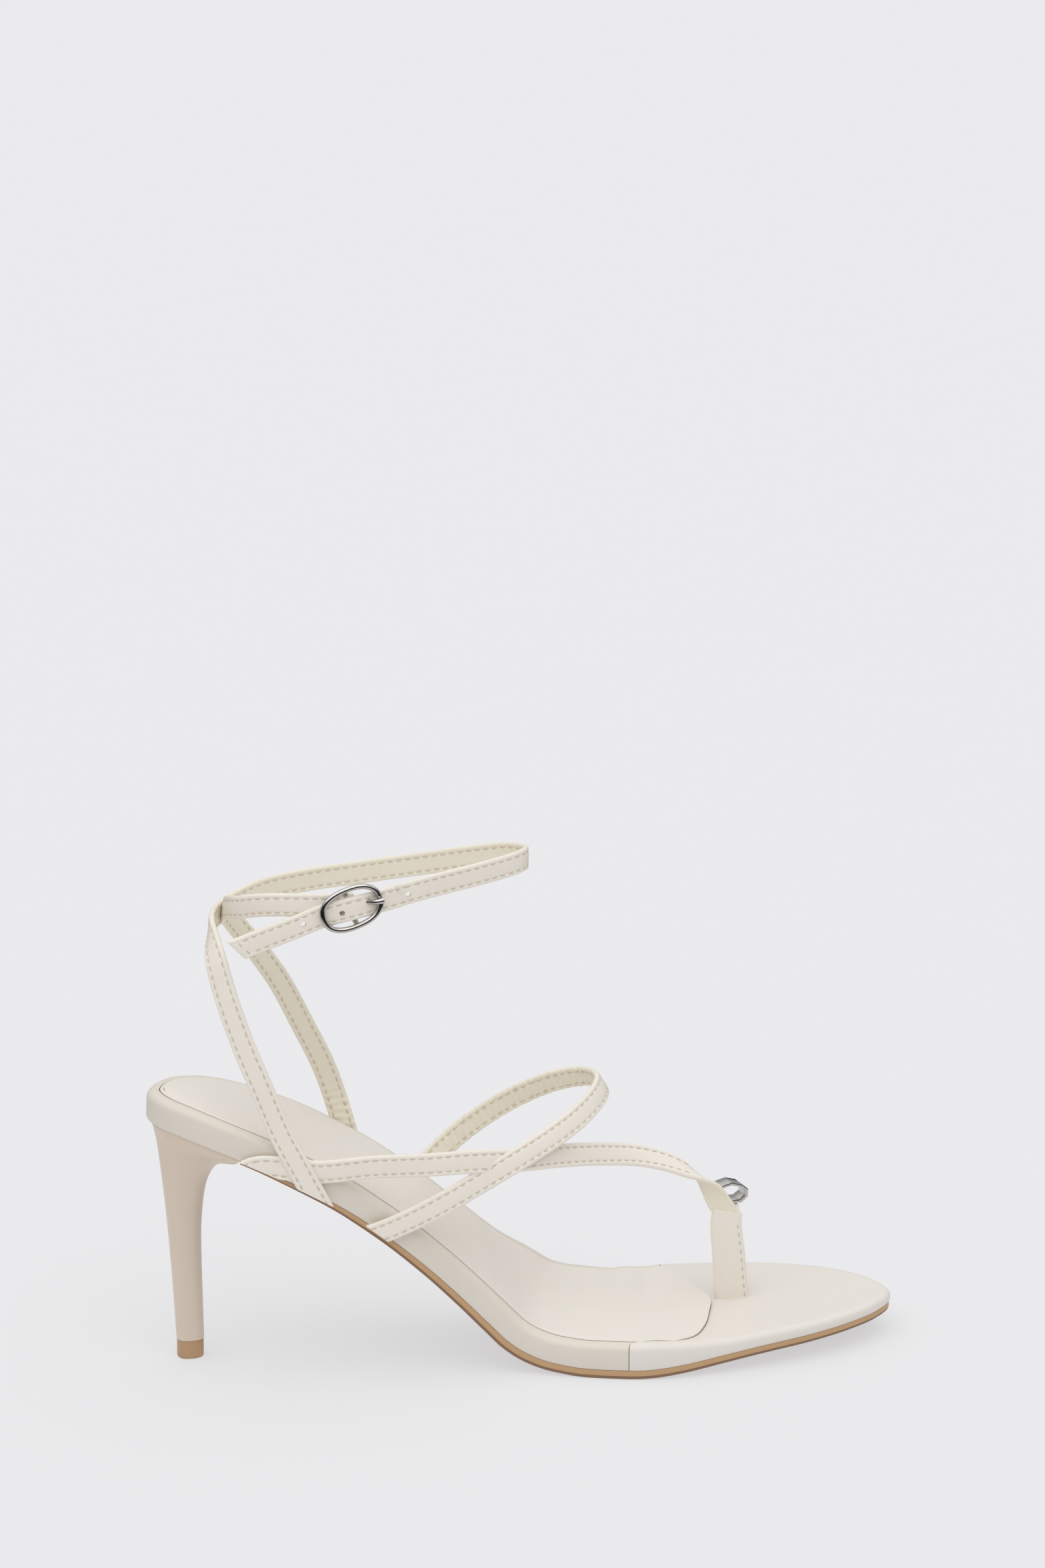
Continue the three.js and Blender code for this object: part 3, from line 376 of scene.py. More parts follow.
def make(name, points, faces, keep_sharp=40):
    """A mesh object from places in millimetres, with even outward faces."""
    mesh = bpy.data.meshes.new(name)
    placed = (np.array(points, float).reshape(-1, 3) + ORIGIN) * MM
    mesh.from_pydata([tuple(p) for p in placed], [], faces)
    piece = bpy.data.objects.new(name, mesh)
    bpy.context.scene.collection.objects.link(piece)
    tidy(piece, keep_sharp)
    return piece


def tidy(piece, keep_sharp):
    work = bmesh.new()
    work.from_mesh(piece.data)
    bmesh.ops.remove_doubles(work, verts=work.verts, dist=1e-7)
    bmesh.ops.recalc_face_normals(work, faces=work.faces)
    for face in work.faces:
        face.smooth = True
    work.to_mesh(piece.data)
    work.free()
    piece.data.set_sharp_from_angle(angle=math.radians(keep_sharp))


def skin(rings, closed=False):
    """Faces over a stack of rings of equal length."""
    count, levels = len(rings[0]), len(rings)
    faces = []
    for level in range(levels if closed else levels - 1):
        first, second = level * count, ((level + 1) % levels) * count
        for i in range(count):
            j = (i + 1) % count
            faces.append((first + i, first + j, second + j, second + i))
    return faces


def carve(target, tool, operation="DIFFERENCE"):
    """Cuts one object by another, which is then removed."""
    modifier = target.modifiers.new("carve", "BOOLEAN")
    modifier.operation = operation
    modifier.solver = "EXACT"
    modifier.object = tool
    bpy.context.view_layer.update()
    graph = bpy.context.evaluated_depsgraph_get()
    carved = bpy.data.meshes.new_from_object(target.evaluated_get(graph))
    target.modifiers.clear()
    target.data = carved
    bpy.data.objects.remove(tool)
    tidy(target, 40)
    return target


def layer(name, rings, crown=lambda x: 0 * x):
    """A closed form: rings of (inset, lift) from below to above, with shaped caps."""
    plans = [inset_ring(inset) for inset, _ in rings]
    placed = [above_sole(p[:, 0], p[:, 1], lift(p[:, 0])) for p, (_, lift) in zip(plans, rings)]
    faces = skin(placed)
    points = [p for ring in placed for p in ring]
    count = len(plans[0])
    for plan, (_, lift), start, swell in (
        (plans[0], rings[0], 0, lambda x: 0 * x),
        (plans[-1], rings[-1], (len(rings) - 1) * count, crown),
    ):
        half = count // 2
        rows = []
        for i in range(1, half):
            share = np.arange(1, FILL_COLUMNS) / FILL_COLUMNS
            spots = plan[i] + share[:, None] * (plan[count - i] - plan[i])
            bulge = swell(spots[:, 0]) * 4 * share * (1 - share)
            filled = above_sole(spots[:, 0], spots[:, 1], lift(spots[:, 0]) + bulge)
            base = len(points)
            points.extend(filled)
            rows.append([start + i, *range(base, base + FILL_COLUMNS - 1), start + count - i])
        for a, b in zip(rows, rows[1:]):
            faces.extend((a[k], b[k], b[k + 1], a[k + 1]) for k in range(FILL_COLUMNS))
        faces.extend((start, rows[0][k], rows[0][k + 1]) for k in range(FILL_COLUMNS))
        faces.extend((start + half, rows[-1][k + 1], rows[-1][k]) for k in range(FILL_COLUMNS))
    return make(name, points, faces)


def still(height):
    return lambda x: height + 0 * x


def platform_form(name, grow, below=0):
    """The platform's outer form with its rolled rim, drawn in or let out by grow."""
    turns = [math.radians(angle) for angle in (0, 15, 30, 45, 60, 75, 90)]
    rings = [(0.15 * RIM_ROLL - grow, still(-below)), (-grow, lambda x: 0.35 * roll_at(x))]
    for turn in turns:
        inset = RIM_ROLL * (1 - math.cos(turn)) * 0.95 - grow
        rise = math.sin(turn)
        rings.append((inset, lambda x, rise=rise: wall_at(x) - roll_at(x) * (1 - rise) + grow * rise))
    rings.append((RIM_WIDTH - grow, lambda x: wall_at(x) + grow))
    return layer(name, rings)


def ahead_of_seam(back):
    """Everything ahead of the cover's seam, as a tall block moved back by the given amount."""
    tall = 200
    seam = [(at * SHOE_LENGTH - back, aside * BALL_WIDTH) for at, aside in COVER_SEAM]
    steps = 8 * len(seam)
    line = list(through(seam)(np.arange(steps + 1) / steps))
    far = 1.2 * SHOE_LENGTH
    plan = [*line, np.array((far, seam[-1][1])), np.array((far, seam[0][1]))]
    rings = [[(*spot, z) for spot in plan] for z in (-tall / 2, tall)]
    count = len(plan)
    ends = [tuple(reversed(range(count))), tuple(range(count, 2 * count))]
    return make("seam_block", [p for ring in rings for p in ring], skin(rings) + ends)


def sock_bed():
    above = 30
    return layer("bed", [
        (RIM_WIDTH, lambda x: wall_at(x) - deck_drop(x)),
        (RIM_WIDTH, still(above)),
    ])


def sock_form():
    edge = RIM_WIDTH + SOCK_SEAM
    rings = [(edge, lambda x: wall_at(x) - deck_drop(x) + GAP)]
    for turn in range(0, 105, 15):
        out, rise = math.cos(math.radians(turn)), math.sin(math.radians(turn))
        rings.append((
            edge + 2 * SOCK_ROUND * (1 - out),
            lambda x, rise=rise: wall_at(x) + SOCK_PROUD - SOCK_ROUND * (1 - rise),
        ))
    return layer("sock", rings, crown=still(SOCK_CUSHION))


def outsole_form():
    return layer("outsole", [
        (OUTSOLE_SETBACK + OUTSOLE_BEVEL, lambda x: -outsole_at(x)),
        (OUTSOLE_SETBACK + 0.3 * OUTSOLE_BEVEL, lambda x: -0.88 * outsole_at(x)),
        (OUTSOLE_SETBACK, lambda x: -0.6 * outsole_at(x)),
        (OUTSOLE_SETBACK, still(-SEAM_GAP)),
    ])


def box_between(low, high):
    corners = [(x, y, z) for z in (low[2], high[2]) for x, y in (
        (low[0], low[1]), (high[0], low[1]), (high[0], high[1]), (low[0], high[1]))]
    faces = [(3, 2, 1, 0), (4, 5, 6, 7), (0, 1, 5, 4), (1, 2, 6, 5), (2, 3, 7, 6), (3, 0, 4, 7)]
    return make("box", corners, faces)


# The heel. Columns: down, set, reach, flare, widest, back, front.
HEEL = [
    (0, 0.13, 1, 1, 0.97, 2, 6),
    (0.035, 0.24, 0.93, 0.88, 0.9, 2, 4.5),
    (0.1, 0.36, 0.64, 0.53, 0.72, 2.1, 3.4),
    (0.17, 0.44, 0.45, 0.345, 0.6, 2.2, 3),
    (0.25, 0.52, 0.306, 0.235, 0.52, 2.3, 2.8),
    (0.36, 0.62, 0.19, 0.155, 0.46, 2.4, 2.6),
    (0.5, 0.727, 0.103, 0.097, 0.42, 2.5, 2.5),
    (0.68, 0.84, 0.053, 0.05, 0.4, 2.6, 2.4),
    (0.85, 0.93, 0.022, 0.02, 0.38, 2.6, 2.4),
    (1, 1, 0, 0, 0.38, 2.6, 2.4),
]
HEEL_CURVES = [smooth(HEEL, column) for column in range(1, 7)]


def heel_plan(down, setback=0):
    """The heel's outline in plan at a share of its way down."""
    start, reach, flare, widest, back_power, front_power = (float(c(down)) for c in HEEL_CURVES)
    back = HEEL_SET * start + setback
    length = HEEL_TIP_LENGTH + (HEEL_SEAT_LENGTH - HEEL_TIP_LENGTH) * reach - 2 * setback
    seat_half = SEAT_WIDTH / 2 - HEEL_SEAT_INSET
    half = HEEL_TIP_WIDTH / 2 + (seat_half - HEEL_TIP_WIDTH / 2) * flare - setback
    middle = back + length * widest
    turn = 2 * np.pi * np.arange(HEEL_SIDES) / HEEL_SIDES
    c, s = -np.cos(turn), -np.sin(turn)
    power = 2 / np.where(c < 0, back_power, front_power)
    run = np.where(c < 0, middle - back, back + length - middle)
    x = middle + np.sign(c) * run * np.abs(c) ** power
    reach_out = half * np.abs(s) ** power
    limit = np.where(s < 0, np.abs(edge_at(x, -1)), np.abs(edge_at(x, 1))) - HEEL_SEAT_INSET
    return x, np.sign(s) * np.minimum(reach_out, limit)


def stack(name, rings):
    """A closed form over rings with a flat fan at each end."""
    count = len(rings[0])
    points = [p for ring in rings for p in ring]
    ends = [tuple(range(count)), tuple(reversed(range((len(rings) - 1) * count, len(rings) * count)))]
    return make(name, points, skin(rings) + ends)


def heel_form():
    low = TOP_PIECE_HEIGHT + SEAM_GAP
    rings = []
    for down in np.linspace(1, 0, HEEL_LEVELS) ** 1.5:
        x, y = heel_plan(down)
        top = sole_z(x, y) - SEAM_GAP
        rings.append(np.stack([x, y, top + (low - top) * down], axis=-1))
    return stack("heel_cover", rings)


def top_piece_form():
    levels = [(0, 0.45), (0.12, 0.2), (0.4, 0), (TOP_PIECE_HEIGHT - 0.15, 0), (TOP_PIECE_HEIGHT, 0.12)]
    rings = []
    for z, setback in levels:
        x, y = heel_plan(1, TOP_PIECE_SETBACK + setback)
        rings.append(np.stack([x, y, z + 0 * x], axis=-1))
    return stack("heel_top_piece", rings)


# The straps' rows: each gives a place and the way the outer face looks.
SEAT_TOP = OUTSOLE_THICKNESS + HEEL_RISE + float(wall_at(0))
BALL_TOP = OUTSOLE_THICKNESS + WALL_HEIGHT


def facing(turn, rise=0):
    a, b = math.radians(turn), math.radians(rise)
    return np.array((math.cos(a) * math.cos(b), math.sin(a) * math.cos(b), math.sin(b)))


def lifted(place, face, over):
    return np.array(place, float) + face * over * (STRAP_THICKNESS - STRAP_PRESS), face


def on_wall(at, side, up, over=0):
    """Beside the wall, at a lift above the sole's line that is a share of the wall's height."""
    x = at * SHOE_LENGTH
    edge = edge_at(x, side)
    out = GAP + STRAP_THICKNESS / 2
    place = (x, edge + side * out, sole_z(x, edge) + up * WALL_HEIGHT)
    return lifted(place, facing(90 * side), over)


def round_ankle(along, aside, up, turn, rise=0, over=0):
    place = (
        ANKLE_LOOP_BACK + along * ANKLE_LOOP_LENGTH,
        aside * ANKLE_LOOP_WIDTH / 2,
        SEAT_TOP + up * ANKLE_RISE,
    )
    return lifted(place, facing(turn, rise), over)


def over_instep(along, aside, up, turn, rise=0, over=0):
    place = (along * SHOE_LENGTH, aside * BALL_WIDTH / 2, BALL_TOP + up * INSTEP_RISE)
    return lifted(place, facing(turn, rise), over)


HEEL_CROSSING = (0.042, 0.282, 0.776, 155)
INSTEP_CROSSING = (0.48, -0.636, 0.804, -84, 14)


def buckle_frame():
    """The buckle's middle, and the directions along the strap, across it and out of it."""
    place, face = round_ankle(0.421, -1, 0.882, -83, 2)
    level = unit(np.array((-face[1], face[0], 0)))
    tilt = math.radians(BUCKLE_TILT)
    along = level * math.cos(tilt) + np.cross(face, level) * math.sin(tilt)
    return place, np.stack([along, np.cross(face, along), face])


BUCKLE_PLACE, BUCKLE_AXES = buckle_frame()


def in_buckle(points):
    """Places from the buckle's own frame."""
    return np.array(points, float) @ BUCKLE_AXES + BUCKLE_PLACE


def at_buckle(along, aside, out):
    place = in_buckle((along * BUCKLE_LENGTH / 2, aside * BUCKLE_WIDTH / 2, out))
    return place, BUCKLE_AXES[2]


RIDING_DEPTH = BUCKLE_WIRE / 2 + GAP + STRAP_THICKNESS / 2
BAR_DEPTH = RIDING_DEPTH + 0.35 * BUCKLE_WIRE
EYE_RADIUS = BAR_WIRE / 2 + GAP + FOLD_THICKNESS
OVER_BAR = EYE_RADIUS + STRAP_THICKNESS / 2 - STRAP_PRESS - BAR_DEPTH
UNDER = RIDING_DEPTH + STRAP_THICKNESS - STRAP_PRESS

# The toe post: its place on the footbed, and how far it leans back as it rises.
POST_AT = 0.786
POST_ASIDE = 0.106
POST_LEAN = 0.075


def on_post(up, turn=-90):
    x, y = POST_AT * SHOE_LENGTH, POST_ASIDE * BALL_WIDTH / 2
    foot = sole_z(x, y) + wall_at(x)
    place = np.array((x - up * POST_HEIGHT * POST_LEAN, y, foot + up * POST_HEIGHT))
    return place, facing(turn)


def ankle_rows():
    return [
        on_wall(0.2237, -1, -0.48, 1),
        on_wall(0.1987, -1, 0.644, 1),
        round_ankle(0.192, -1.465, -0.109, -90),
        round_ankle(0.12, -1.39, 0.137, -93),
        round_ankle(0.068, -1.265, 0.317, -99),
        round_ankle(0.02, -1.1, 0.518, -107),
        round_ankle(-0.006, -0.9, 0.66, -118),
        round_ankle(-0.014, -0.56, 0.735, -140),
        round_ankle(-0.006, -0.13, 0.765, -172),
        round_ankle(*HEEL_CROSSING, over=1),
        round_ankle(0.096, 0.58, 0.805, 128),
        round_ankle(0.177, 0.8, 0.83, 112),
        round_ankle(0.321, 0.94, 0.856, 97),
        round_ankle(0.46, 0.96, 0.877, 88),
        round_ankle(0.596, 0.91, 0.903, 82),
        round_ankle(0.734, 0.77, 0.936, 76),
        round_ankle(0.858, 0.565, 0.971, 68),
        round_ankle(0.945, 0.35, 0.996, 55),
        round_ankle(0.992, 0.07, 1.004, 8),
        round_ankle(0.968, -0.225, 1.006, -58),
        round_ankle(0.873, -0.46, 0.988, -68),
        round_ankle(0.753, -0.665, 0.967, -71),
        round_ankle(0.61, -0.86, 0.937, -76),
        at_buckle(1.45, -0.36, -RIDING_DEPTH),
        at_buckle(0.9, -0.27, -RIDING_DEPTH),
        at_buckle(0, 0, OVER_BAR),
        at_buckle(-0.93, 0.08, -RIDING_DEPTH),
        at_buckle(-1.7, 0.1, -RIDING_DEPTH + 0.25 * STRAP_THICKNESS),
        at_buckle(-2.7, 0.17, -RIDING_DEPTH + 0.75 * STRAP_THICKNESS),
        at_buckle(-3.73, 0.22, -RIDING_DEPTH + 1.25 * STRAP_THICKNESS),
    ]


def buckle_strap_rows():
    return [
        on_wall(0.288, 1, -0.685),
        on_wall(0.276, 1, 0.548),
        round_ankle(0.405, 1.37, -0.19, 90),
        round_ankle(0.363, 1.31, -0.022, 91),
        round_ankle(0.3, 1.18, 0.166, 97),
        round_ankle(0.224, 1, 0.385, 106),
        round_ankle(0.16, 0.84, 0.528, 118),
        round_ankle(0.1, 0.62, 0.65, 132),
        round_ankle(*HEEL_CROSSING),
        round_ankle(0.046, -0.06, 0.823, -178),
        round_ankle(0.078, -0.5, 0.86, -134),
        round_ankle(0.135, -0.8, 0.892, -108),
        round_ankle(0.2, -0.93, 0.902, -98),
        at_buckle(-1.35, 0.87, -UNDER + 0.125 * STRAP_THICKNESS),
        at_buckle(-0.88, 0.56, -UNDER),
        at_buckle(-0.35, 0.24, -UNDER - 0.125 * STRAP_THICKNESS),
        at_buckle(-0.1, 0.05, -UNDER - 0.06 * STRAP_THICKNESS),
    ]


def post_rows():
    return [
        on_wall(0.112, -1, -0.822),
        on_wall(0.122, -1, -0.356),
        on_wall(0.136, -1, 0.027),
        on_wall(0.155, -1, 0.329),
        on_wall(0.185, -1, 0.671),
        on_wall(0.22, -1, 1.096),
        over_instep(0.29, -0.782, 0.82, -90),
        over_instep(0.36, -0.765, 0.818, -88, 4),
        over_instep(0.416, -0.725, 0.818, -86, 9),
        over_instep(*INSTEP_CROSSING),
        over_instep(0.551, -0.37, 0.77, -82, 22),
        over_instep(0.602, -0.185, 0.738, -80, 28),
        over_instep(0.656, 0, 0.692, -78, 42),
        over_instep(0.696, 0.07, 0.646, -74, 56),
        over_instep(0.722, 0.09, 0.604, -45, 66),
        over_instep(0.742, 0.11, 0.561, 25, 56),
        over_instep(0.757, 0.115, 0.508, 70, 34),
        over_instep(0.767, 0.11, 0.452, 88, 12),
        on_post(0.98, 90),
        on_post(0.82, 90),
    ]


def toe_post_rows():
    top, face = on_post(1)
    place = top + np.array((0.1 * POST_TOP_WIDTH, 0, 0))
    return [(place, face), on_post(0.9), on_post(0.5), on_post(-POST_DEPTH / POST_HEIGHT)]


def instep_rows():
    return [
        on_wall(0.262, -1, -1.096, 1),
        on_wall(0.298, -1, 0, 1),
        over_instep(0.333, -0.75, 0.561, -90),
        over_instep(0.386, -0.76, 0.648, -88, 5),
        over_instep(0.437, -0.725, 0.736, -86, 10),
        over_instep(*INSTEP_CROSSING, over=1),
        over_instep(0.531, -0.49, 0.874, -72, 20),
        over_instep(0.571, -0.305, 0.933, -52, 26),
        over_instep(0.6, -0.09, 0.988, -22, 30),
        over_instep(0.609, 0.12, 1.007, 8, 31),
        over_instep(0.6, 0.34, 0.999, 42, 28),
        over_instep(0.577, 0.5, 0.972, 62, 22),
        over_instep(0.545, 0.605, 0.93, 74, 17),
        over_instep(0.493, 0.69, 0.842, 82, 10),
        over_instep(0.445, 0.72, 0.737, 86, 5),
        over_instep(0.412, 0.705, 0.653, 88, 2),
        on_wall(0.374, 1, 1.233),
        on_wall(0.351, 1, 0.096),
        on_wall(0.333, 1, -0.767),
    ]


# The narrow tab that carries the ring. Columns: along, aside, up, rise, as shares of the post's
# width, of the way to behind the ring and of the ring's height.
TAB = [
    (0.22, 0.02, -0.5, 0),
    (0.26, 0.12, -0.2, 10),
    (0.28, 0.28, 0.02, 45),
    (0.24, 0.5, 0.07, 80),
    (0.14, 0.9, 0.07, 89),
]


def tab_rows():
    behind = POST_THICKNESS / 2 + GAP + RING_BACK + RING_DEPTH
    place, _ = on_post(1)
    scale = np.array((POST_TOP_WIDTH, behind, RING_HEIGHT))
    return [(place + scale * row[:3], facing(-90, row[3])) for row in TAB]


class Route:
    """A strap's middle line, with the directions across it and out of it."""

    def __init__(self, rows):
        places, faces = zip(*rows)
        self.places, self.faces = through(places), through(faces)
        self.last_row = len(rows) - 1
        self.share = np.linspace(0, 1, 80 * len(rows))
        steps = np.linalg.norm(np.diff(self.places(self.share), axis=0), axis=1)
        self.run = np.concatenate([[0], np.cumsum(steps)])
        self.length = self.run[-1]

    def at(self, run):
        share = np.interp(run, self.run, self.share)
        reach = 2e-3
        ahead = self.places(np.minimum(share + reach, 1))
        along = unit(ahead - self.places(np.maximum(share - reach, 0)))
        out = self.faces(share)
        out = unit(out - np.sum(out * along, axis=1, keepdims=True) * along)
        return share * self.last_row, self.places(share), np.cross(out, along), out


# Half of a strap's section from its edge inwards. Columns: distance from the edge in millimetres,
# height of the outer face and of the lined face as shares of half the thickness. The edge is
# turned over a cord, so it is round, and the stitches sink in beside it.
SECTION = [
    (0, 0, 0),
    (0.06, 0.4, 0.4),
    (0.22, 0.76, 0.78),
    (0.5, 0.98, 0.96),
    (0.85, 1.06, 1),
    (1.12, 1.02, 0.95),
    (1.3, 0.9, 0.86),
    (1.5, 0.9, 0.86),
    (1.7, 1.02, 0.93),
    (2.3, 1.1, 0.97),
]
MIDDLE_HEIGHT = (1.13, 0.97)

# The post's section: a wrapped band with full rounded edges.
POST_SECTION = [
    (0, 0, 0),
    (0.1, 0.42, 0.42),
    (0.35, 0.7, 0.7),
    (0.8, 0.9, 0.9),
    (1.4, 0.99, 0.99),
    (2.4, 1.03, 1),
]
POST_MIDDLE = (1.06, 1)


def even_shape(row):
    """Half the width and half the thickness of a plain strap."""
    return STRAP_WIDTH / 2 + 0 * row, STRAP_THICKNESS / 2 + 0 * row


def post_shape(row):
    width = POST_TOP_WIDTH + (POST_WIDTH - POST_TOP_WIDTH) * row / 3
    return width / 2, POST_THICKNESS / 2 + 0 * row


def tab_shape(row):
    return TAB_WIDTH / 2 + 0 * row, 0.375 * STRAP_THICKNESS + 0 * row


def strap(name, rows, shape=even_shape, section=SECTION, middle=MIDDLE_HEIGHT, slant=0,
          round_end=False, creases=None):
    """A lined strap with rounded turned edges and a groove under each line of stitches."""
    route = Route(rows)
    run = np.linspace(0, route.length, int(route.length / STRAP_STEP))
    half_width, half_thickness = shape(route.at(run)[0])
    outer = [(1, d, h) for d, h, _ in section] + [(0, 0, middle[0])]
    outer += [(-1, d, h) for d, h, _ in reversed(section)]
    inner = [(-1, d, -h) for d, _, h in section[1:]] + [(0, 0, -middle[1])]
    inner += [(1, d, -h) for d, _, h in reversed(section[1:])]
    corners = outer + inner
    rounding = np.ones_like(run)
    if round_end:
        left = np.clip((route.length - run) / END_ROUNDING, 0, 1)
        rounding = 0.45 + 0.55 * np.sqrt(1 - (1 - left) ** 2)
    columns = []
    for side, from_edge, height in corners:
        a = side * (half_width - np.minimum(from_edge, 0.8 * half_width))
        shifted = run - slant * a * ease(run, route.length - SLANT_REACH, route.length)
        _, centre, across, out = route.at(np.minimum(shifted, route.length))
        beyond = np.maximum(shifted - route.length, 0)[:, None]
        tip = np.cross(across, out)
        lift = height * half_thickness * rounding
        if creases is not None and height < 0:
            lift = lift + creases(run, run / route.length, a)
        columns.append(centre + beyond * tip + a[:, None] * across + lift[:, None] * out)
    return stack(name, list(np.stack(columns, axis=1))), route


def edge_line(side, start, end):
    """A line of stitches along one edge: its length, and run and side at a distance along it."""
    return end - start, lambda gone: (start + gone, side + 0 * gone)


def end_line(run, reach, slant=0):
    """A line of stitches across a strap, slanted as its end is."""
    return 2 * reach, lambda gone: (run - slant * (gone - reach), gone / reach - 1)


def stitches(name, route, shape, lines, faces=(1, -1)):
    """Short thread stitches in lines on a strap's outer (1) and lined (-1) face."""
    rings = 6
    sides = 6
    points, quads = [], []
    turn = 2 * np.pi * np.arange(sides) / sides
    share = np.linspace(0, 1, rings)
    dip = 1 - (2 * share - 1) ** 4
    radius = THREAD_RADIUS * (0.45 + 0.55 * dip)
    for length, line in lines:
        for first in np.arange(0, length - 0.8 * STITCH_LENGTH, STITCH_PITCH):
            run, side = line(first + share * STITCH_LENGTH)
            row, centre, across, out = route.at(run)
            half_width, half_thickness = shape(row)
            spot = centre + (side * (half_width - STITCH_INSET))[:, None] * across
            sideways = unit(np.cross(np.gradient(spot, axis=0), out))
            for outward in faces:
                level = half_thickness * 0.9 + THREAD_RADIUS * (1.15 * dip - 0.75)
                middle = spot + (outward * level)[:, None] * out
                base = len(points)
                for k in range(rings):
                    for t in turn:
                        offset = math.cos(t) * sideways[k] * 1.25 + math.sin(t) * out[k]
                        points.append(middle[k] + radius[k] * offset)
                for k in range(rings - 1):
                    for i in range(sides):
                        j = (i + 1) % sides
                        quads.append((
                            base + k * sides + i, base + k * sides + j,
                            base + (k + 1) * sides + j, base + (k + 1) * sides + i))
                quads.append(tuple(range(base, base + sides)))
                last = base + (rings - 1) * sides
                quads.append(tuple(range(last + sides - 1, last - 1, -1)))
    return make(name, points, quads, keep_sharp=80)


def under_sole():
    """What lies under the sole's line, where the straps end."""
    far, deep = 14, 60
    return layer("under", [(-far, still(-deep)), (-far, still(0))])


def wire(name, points, radius, closed, side):
    """Round wire through its points, which lie in a plane that is square to side."""
    curve = through(points, closed)
    steps = len(points) * 8
    share = np.arange(steps + (0 if closed else 1)) / steps
    centre = curve(share)
    small = 1e-3
    after = curve((share + small) % 1 if closed else np.minimum(share + small, 1))
    before = curve((share - small) % 1 if closed else np.maximum(share - small, 0))
    along = unit(after - before)
    side = np.array(side, float)
    first = unit(side - np.sum(side * along, axis=1, keepdims=True) * along)
    second = np.cross(along, first)
    turn = 2 * np.pi * np.arange(WIRE_SIDES) / WIRE_SIDES
    rings = []
    for k in range(len(centre)):
        ring = centre[k] + radius * (np.cos(turn)[:, None] * first[k] + np.sin(turn)[:, None] * second[k])
        rings.append(in_buckle(ring))
    if closed:
        return make(name, [p for ring in rings for p in ring], skin(rings, closed=True))
    return stack(name, rings)


BAR = [(1, 0), (0.9, 0.5), (0.76, 0.95), (0.3, 1)]
PRONG = [
    (0.12, 0, -0.72),
    (0.34, 0, -0.66),
    (0.55, -0.02, -0.15),
    (0.72, -0.07, 0.72),
    (0.85, -0.1, 1),
    (0.98, -0.13, 1),
]
HOLES = [(-1.52, 0.1), (-0.32, -0.03), (1.76, -0.4)]


def buckle_pieces():
    a, b = (BUCKLE_LENGTH - BUCKLE_WIRE) / 2, (BUCKLE_WIDTH - BUCKLE_WIRE) / 2
    turn = 2 * np.pi * np.arange(24) / 24
    power = 2 / BUCKLE_SQUARENESS
    c, s = np.cos(turn), np.sin(turn)
    oval = np.stack([
        a * np.sign(c) * np.abs(c) ** power, b * np.sign(s) * np.abs(s) ** power, 0 * c], axis=-1)
    half = [(0, aside * b, -drop * BAR_DEPTH) for aside, drop in BAR]
    bar = half + [(x, -y, z) for x, y, z in reversed(half)]
    rest = BUCKLE_WIRE / 2 + GAP + PRONG_WIRE / 2
    shank = [(x * BUCKLE_LENGTH / 2, y * BUCKLE_WIDTH / 2, z * rest) for x, y, z in PRONG]
    reach = BAR_WIRE / 2 + GAP + PRONG_FOLD / 2
    turns = [math.radians(angle) for angle in range(0, 360, 45)]
    eye = [(reach * math.cos(t), 0, reach * math.sin(t) - BAR_DEPTH) for t in turns]
    return [
        (wire("buckle_oval", oval, BUCKLE_WIRE / 2, True, (0, 0, 1)), "buckle_frame"),
        (wire("buckle_bar", bar, BAR_WIRE / 2, False, (1, 0, 0)), "buckle_frame"),
        (wire("prong_shank", shank, PRONG_WIRE / 2, False, (0, 1, 0)), "buckle_prong"),
        (wire("prong_eye", eye, PRONG_FOLD / 2, True, (0, 1, 0)), "buckle_prong"),
    ]


def hole_tool(along, aside):
    """A round cutter through the strap beside the buckle."""
    sides, deep = 28, 8
    centre = np.array((along * BUCKLE_LENGTH / 2, aside * BUCKLE_WIDTH / 2, 0))
    turn = 2 * np.pi * np.arange(sides) / sides
    rings = []
    radius = HOLE_DIAMETER / 2
    for out in (-deep / 2, deep / 2):
        ring = [centre + (radius * math.cos(t), radius * math.sin(t), out) for t in turn]
        rings.append(in_buckle(ring))
    return stack("hole", rings)


def fold_eye():
    """The short strap's end, folded round the buckle's bar."""
    sides = 40
    turn = 2 * np.pi * np.arange(sides) / sides
    half = STRAP_WIDTH / 2
    levels = [
        (-half, 0.35), (-half + 0.1, 0.1), (-half + 0.4, 0),
        (half - 0.4, 0), (half - 0.1, 0.1), (half, 0.35),
    ]
    rings = []
    for aside, draw in levels:
        radius = EYE_RADIUS - draw
        ring = np.stack([radius * np.cos(turn), aside + 0 * turn, radius * np.sin(turn) - BAR_DEPTH], axis=-1)
        rings.append(in_buckle(ring))
    return stack("strap_fold", rings)


# The ring at the top of the post, seen along its axis: shares of half its length and height.
RING = [
    (0, 1),
    (-0.55, 0.78),
    (-1, 0.25),
    (-0.95, -0.3),
    (-0.45, -1),
    (0.6, -1),
    (0.98, -0.5),
    (1, 0.22),
    (0.62, 0.7),
]


